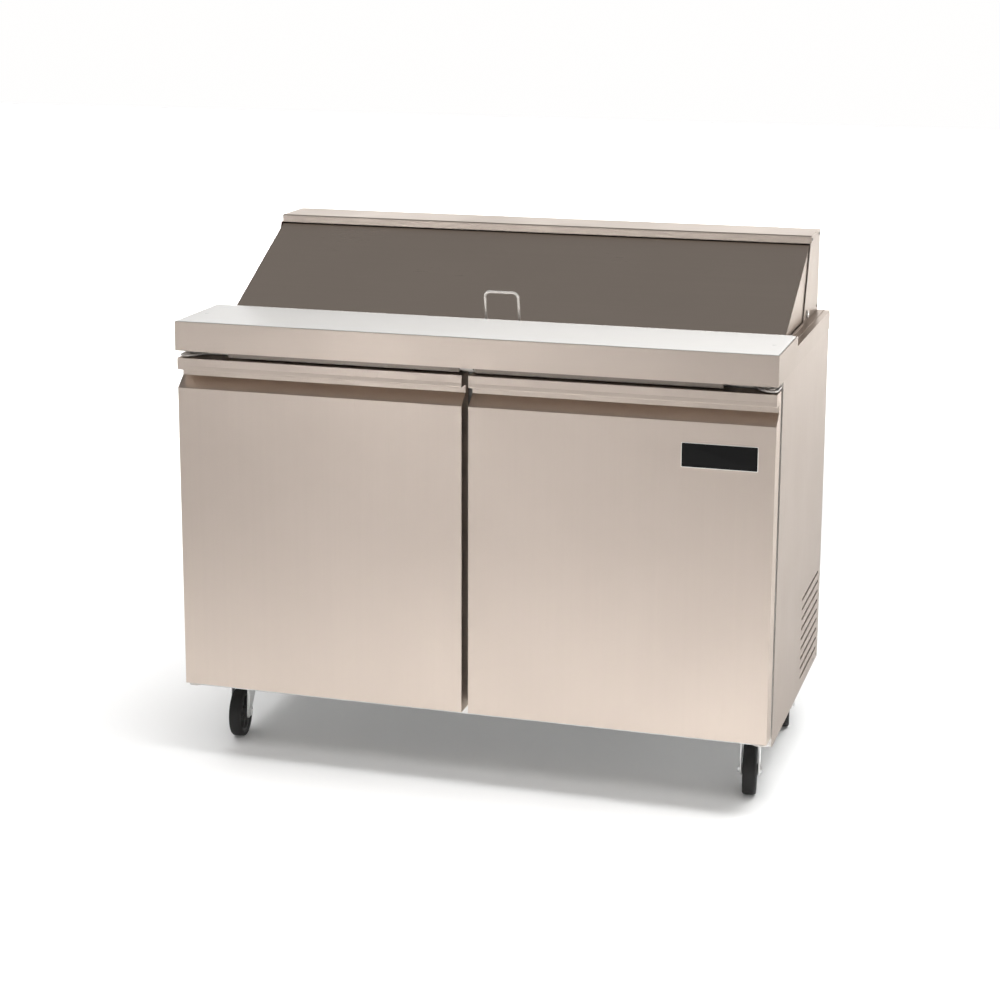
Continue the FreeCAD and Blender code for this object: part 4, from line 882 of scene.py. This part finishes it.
# ------------------------------------------------------------------ board and lid
def build_board_studs():
    """Small rivet caps that seat the board."""
    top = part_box("cutting_board")[1].z / MM
    bm = bmesh.new()
    for sign in (-1, 1):
        add_lathe(bm, [(0, -1.4), (3.7, -1.4), (3.7, -0.35), (3.2, 0.0), (0, 0.12)],
                  spot(sign * 585, 100, top), (0, 0, 1), 32)
    make_piece("board_studs", bm, STUD, "board")


def build_handle_feet():
    """Weld washers where the wire pull meets the lid."""
    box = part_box("lid_handle")
    middle = (box[0].x + box[1].x) / 2 / MM
    low = box[0].z / MM
    rear = box[1].y / MM
    lid_normal = Vector((0, -0.4605, 0.8877))
    bm = bmesh.new()
    for sign in (-1, 1):
        add_lathe(bm, [(0, -0.6), (5.2, -0.6), (5.0, 0.5), (3.8, 1.6), (3.1, 2.4), (0, 2.6)],
                  (middle + sign * 35, rear - 3.2, low + 2.0), lid_normal, 28)
    make_piece("handle_feet", bm, BRIGHT, "lid")


build_board_studs()
build_handle_feet()


# ------------------------------------------------------------------ rear controls
def build_controller_face():
    """Display window on the temperature controller."""
    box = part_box("controller")
    x0 = box[0].x / MM
    face = box[1].y / MM - 2.4
    bm = bmesh.new()
    add_prism(bm, round_outline([(x0 + 10.5, 358.6), (x0 + 49.5, 358.6), (x0 + 49.5, 381.4),
                                 (x0 + 10.5, 381.4)], 1.5), "y", face, face + 1.0)
    soften(bm, 0.3)
    make_piece("controller_display", bm, DISPLAY, "cabinet")


build_controller_face()


# --------------------------------------------------------------- floor and camera
def build_floor():
    """A pale matt floor, 30 m square."""
    bm = bmesh.new()
    bmesh.ops.create_grid(bm, x_segments=8, y_segments=8, size=15.0)
    mesh = bpy.data.meshes.new("studio_floor")
    bm.to_mesh(mesh)
    bm.free()
    floor = bpy.data.objects.new("studio_floor", mesh)
    bpy.context.scene.collection.objects.link(floor)
    material, tree, shader = new_material("floor_paint", Roughness=0.9,
                                          Specular_IOR_Level=0.0)
    tone = noise(tree, object_place(tree, (0.6, 0.6, 0.6)), 1.0, 2.0)
    tree.links.new(mix_colour(tree, tone, (0.87, 0.87, 0.865, 1), (0.89, 0.89, 0.89, 1)),
                   shader.inputs["Base Color"])
    mesh.materials.append(material)


def area_light(name, place, size, power, turn=(0, 0, 0), spread=180.0, mirrored=False):
    """A soft box; one that isn't mirrored lights surfaces without showing in polished metal."""
    light = bpy.data.lights.new(name, "AREA")
    light.shape = "RECTANGLE"
    light.size, light.size_y = size
    light.energy = power
    light.spread = math.radians(spread)
    holder = bpy.data.objects.new(name, light)
    bpy.context.scene.collection.objects.link(holder)
    holder.location = place
    holder.rotation_euler = tuple(math.radians(angle) for angle in turn)
    holder.visible_glossy = mirrored
    holder.visible_camera = False


def build_world():
    """A pale horizon, a little brighter behind the table, under a dim ceiling."""
    world = bpy.data.worlds.new("studio")
    bpy.context.scene.world = world
    world.use_nodes = True
    tree = world.node_tree
    background = tree.nodes["Background"]
    ray = node(tree, "ShaderNodeTexCoord").outputs["Generated"]
    parts = node(tree, "ShaderNodeSeparateXYZ", {"Vector": ray})
    low = remap(tree, parts.outputs["Z"], 0.16, 0.66, 1.0, 0.0, True)
    horizon = remap(tree, parts.outputs["Y"], -0.4, 0.5, 0.73, 1.0, True)
    ceiling = remap(tree, parts.outputs["Z"], 0.16, 0.66, 0.0, 0.24, True)
    level = math_node(tree, "ADD", math_node(tree, "MULTIPLY", low, horizon), ceiling)
    tree.links.new(level, background.inputs["Strength"])
    background.inputs["Color"].default_value = (1.0, 0.995, 0.99, 1.0)


def build_camera():
    """The view of the photograph, fitted to the corners of the cabinet."""
    down, turn = 12.61, 17.48
    camera = bpy.data.cameras.new("photo_view")
    camera.sensor_width = 36.0
    camera.lens = 79.7
    camera.shift_x = 0.04
    camera.shift_y = -0.08
    holder = bpy.data.objects.new("photo_view", camera)
    bpy.context.scene.collection.objects.link(holder)
    holder.location = (1.2574, -4.3522, 1.7035)
    holder.rotation_euler = (math.radians(90 - down), 0.0, math.radians(turn))
    bpy.context.scene.camera = holder


build_floor()
build_world()
area_light("floor_wash", (0.0, 10.5, 6.5), (30.0, 13.0), 2200, spread=50.0)
area_light("floor_wash_left", (-12.5, 0.0, 6.5), (13.0, 30.0), 1900, spread=50.0)
area_light("floor_wash_right", (12.5, 0.0, 6.5), (13.0, 30.0), 1900, spread=50.0)
area_light("floor_wash_front", (0.0, -13.5, 6.5), (12.0, 11.0), 260, spread=50.0)
area_light("wash_back", (0.0, 6.0, 4.0), (12.0, 6.0), 195, spread=90.0)
area_light("wash_left", (-3.0, 1.2, 3.0), (2.5, 4.0), 92, spread=90.0)
area_light("wash_right", (2.7, 1.0, 3.0), (2.5, 3.4), 76, spread=80.0)
area_light("overhead", (0.7, 0.7, 4.2), (4.0, 2.6), 18, spread=120.0)
area_light("over_front", (0.4, -0.35, 2.2), (2.0, 0.9), 14, spread=100.0)
area_light("near_pool", (0.1, -1.0, 1.1), (2.2, 0.4), 4.5, spread=130.0)
area_light("far_pool", (-1.6, -4.9, 1.2), (0.8, 1.2), 42, spread=80.0)
area_light("front_strip", (-0.95, -3.1, 1.3), (0.4, 4.2), 4, turn=(0, 0, -22), spread=80.0)
area_light("front_low", (1.2, -3.2, 0.9), (2.4, 1.0), 22, turn=(72, 0, 16))
area_light("rear_card", (-0.6, 6.0, 1.95), (6.0, 1.6), 50, turn=(-90, 0, 0), mirrored=True)
build_camera()
bpy.context.scene.view_settings.view_transform = "Standard"
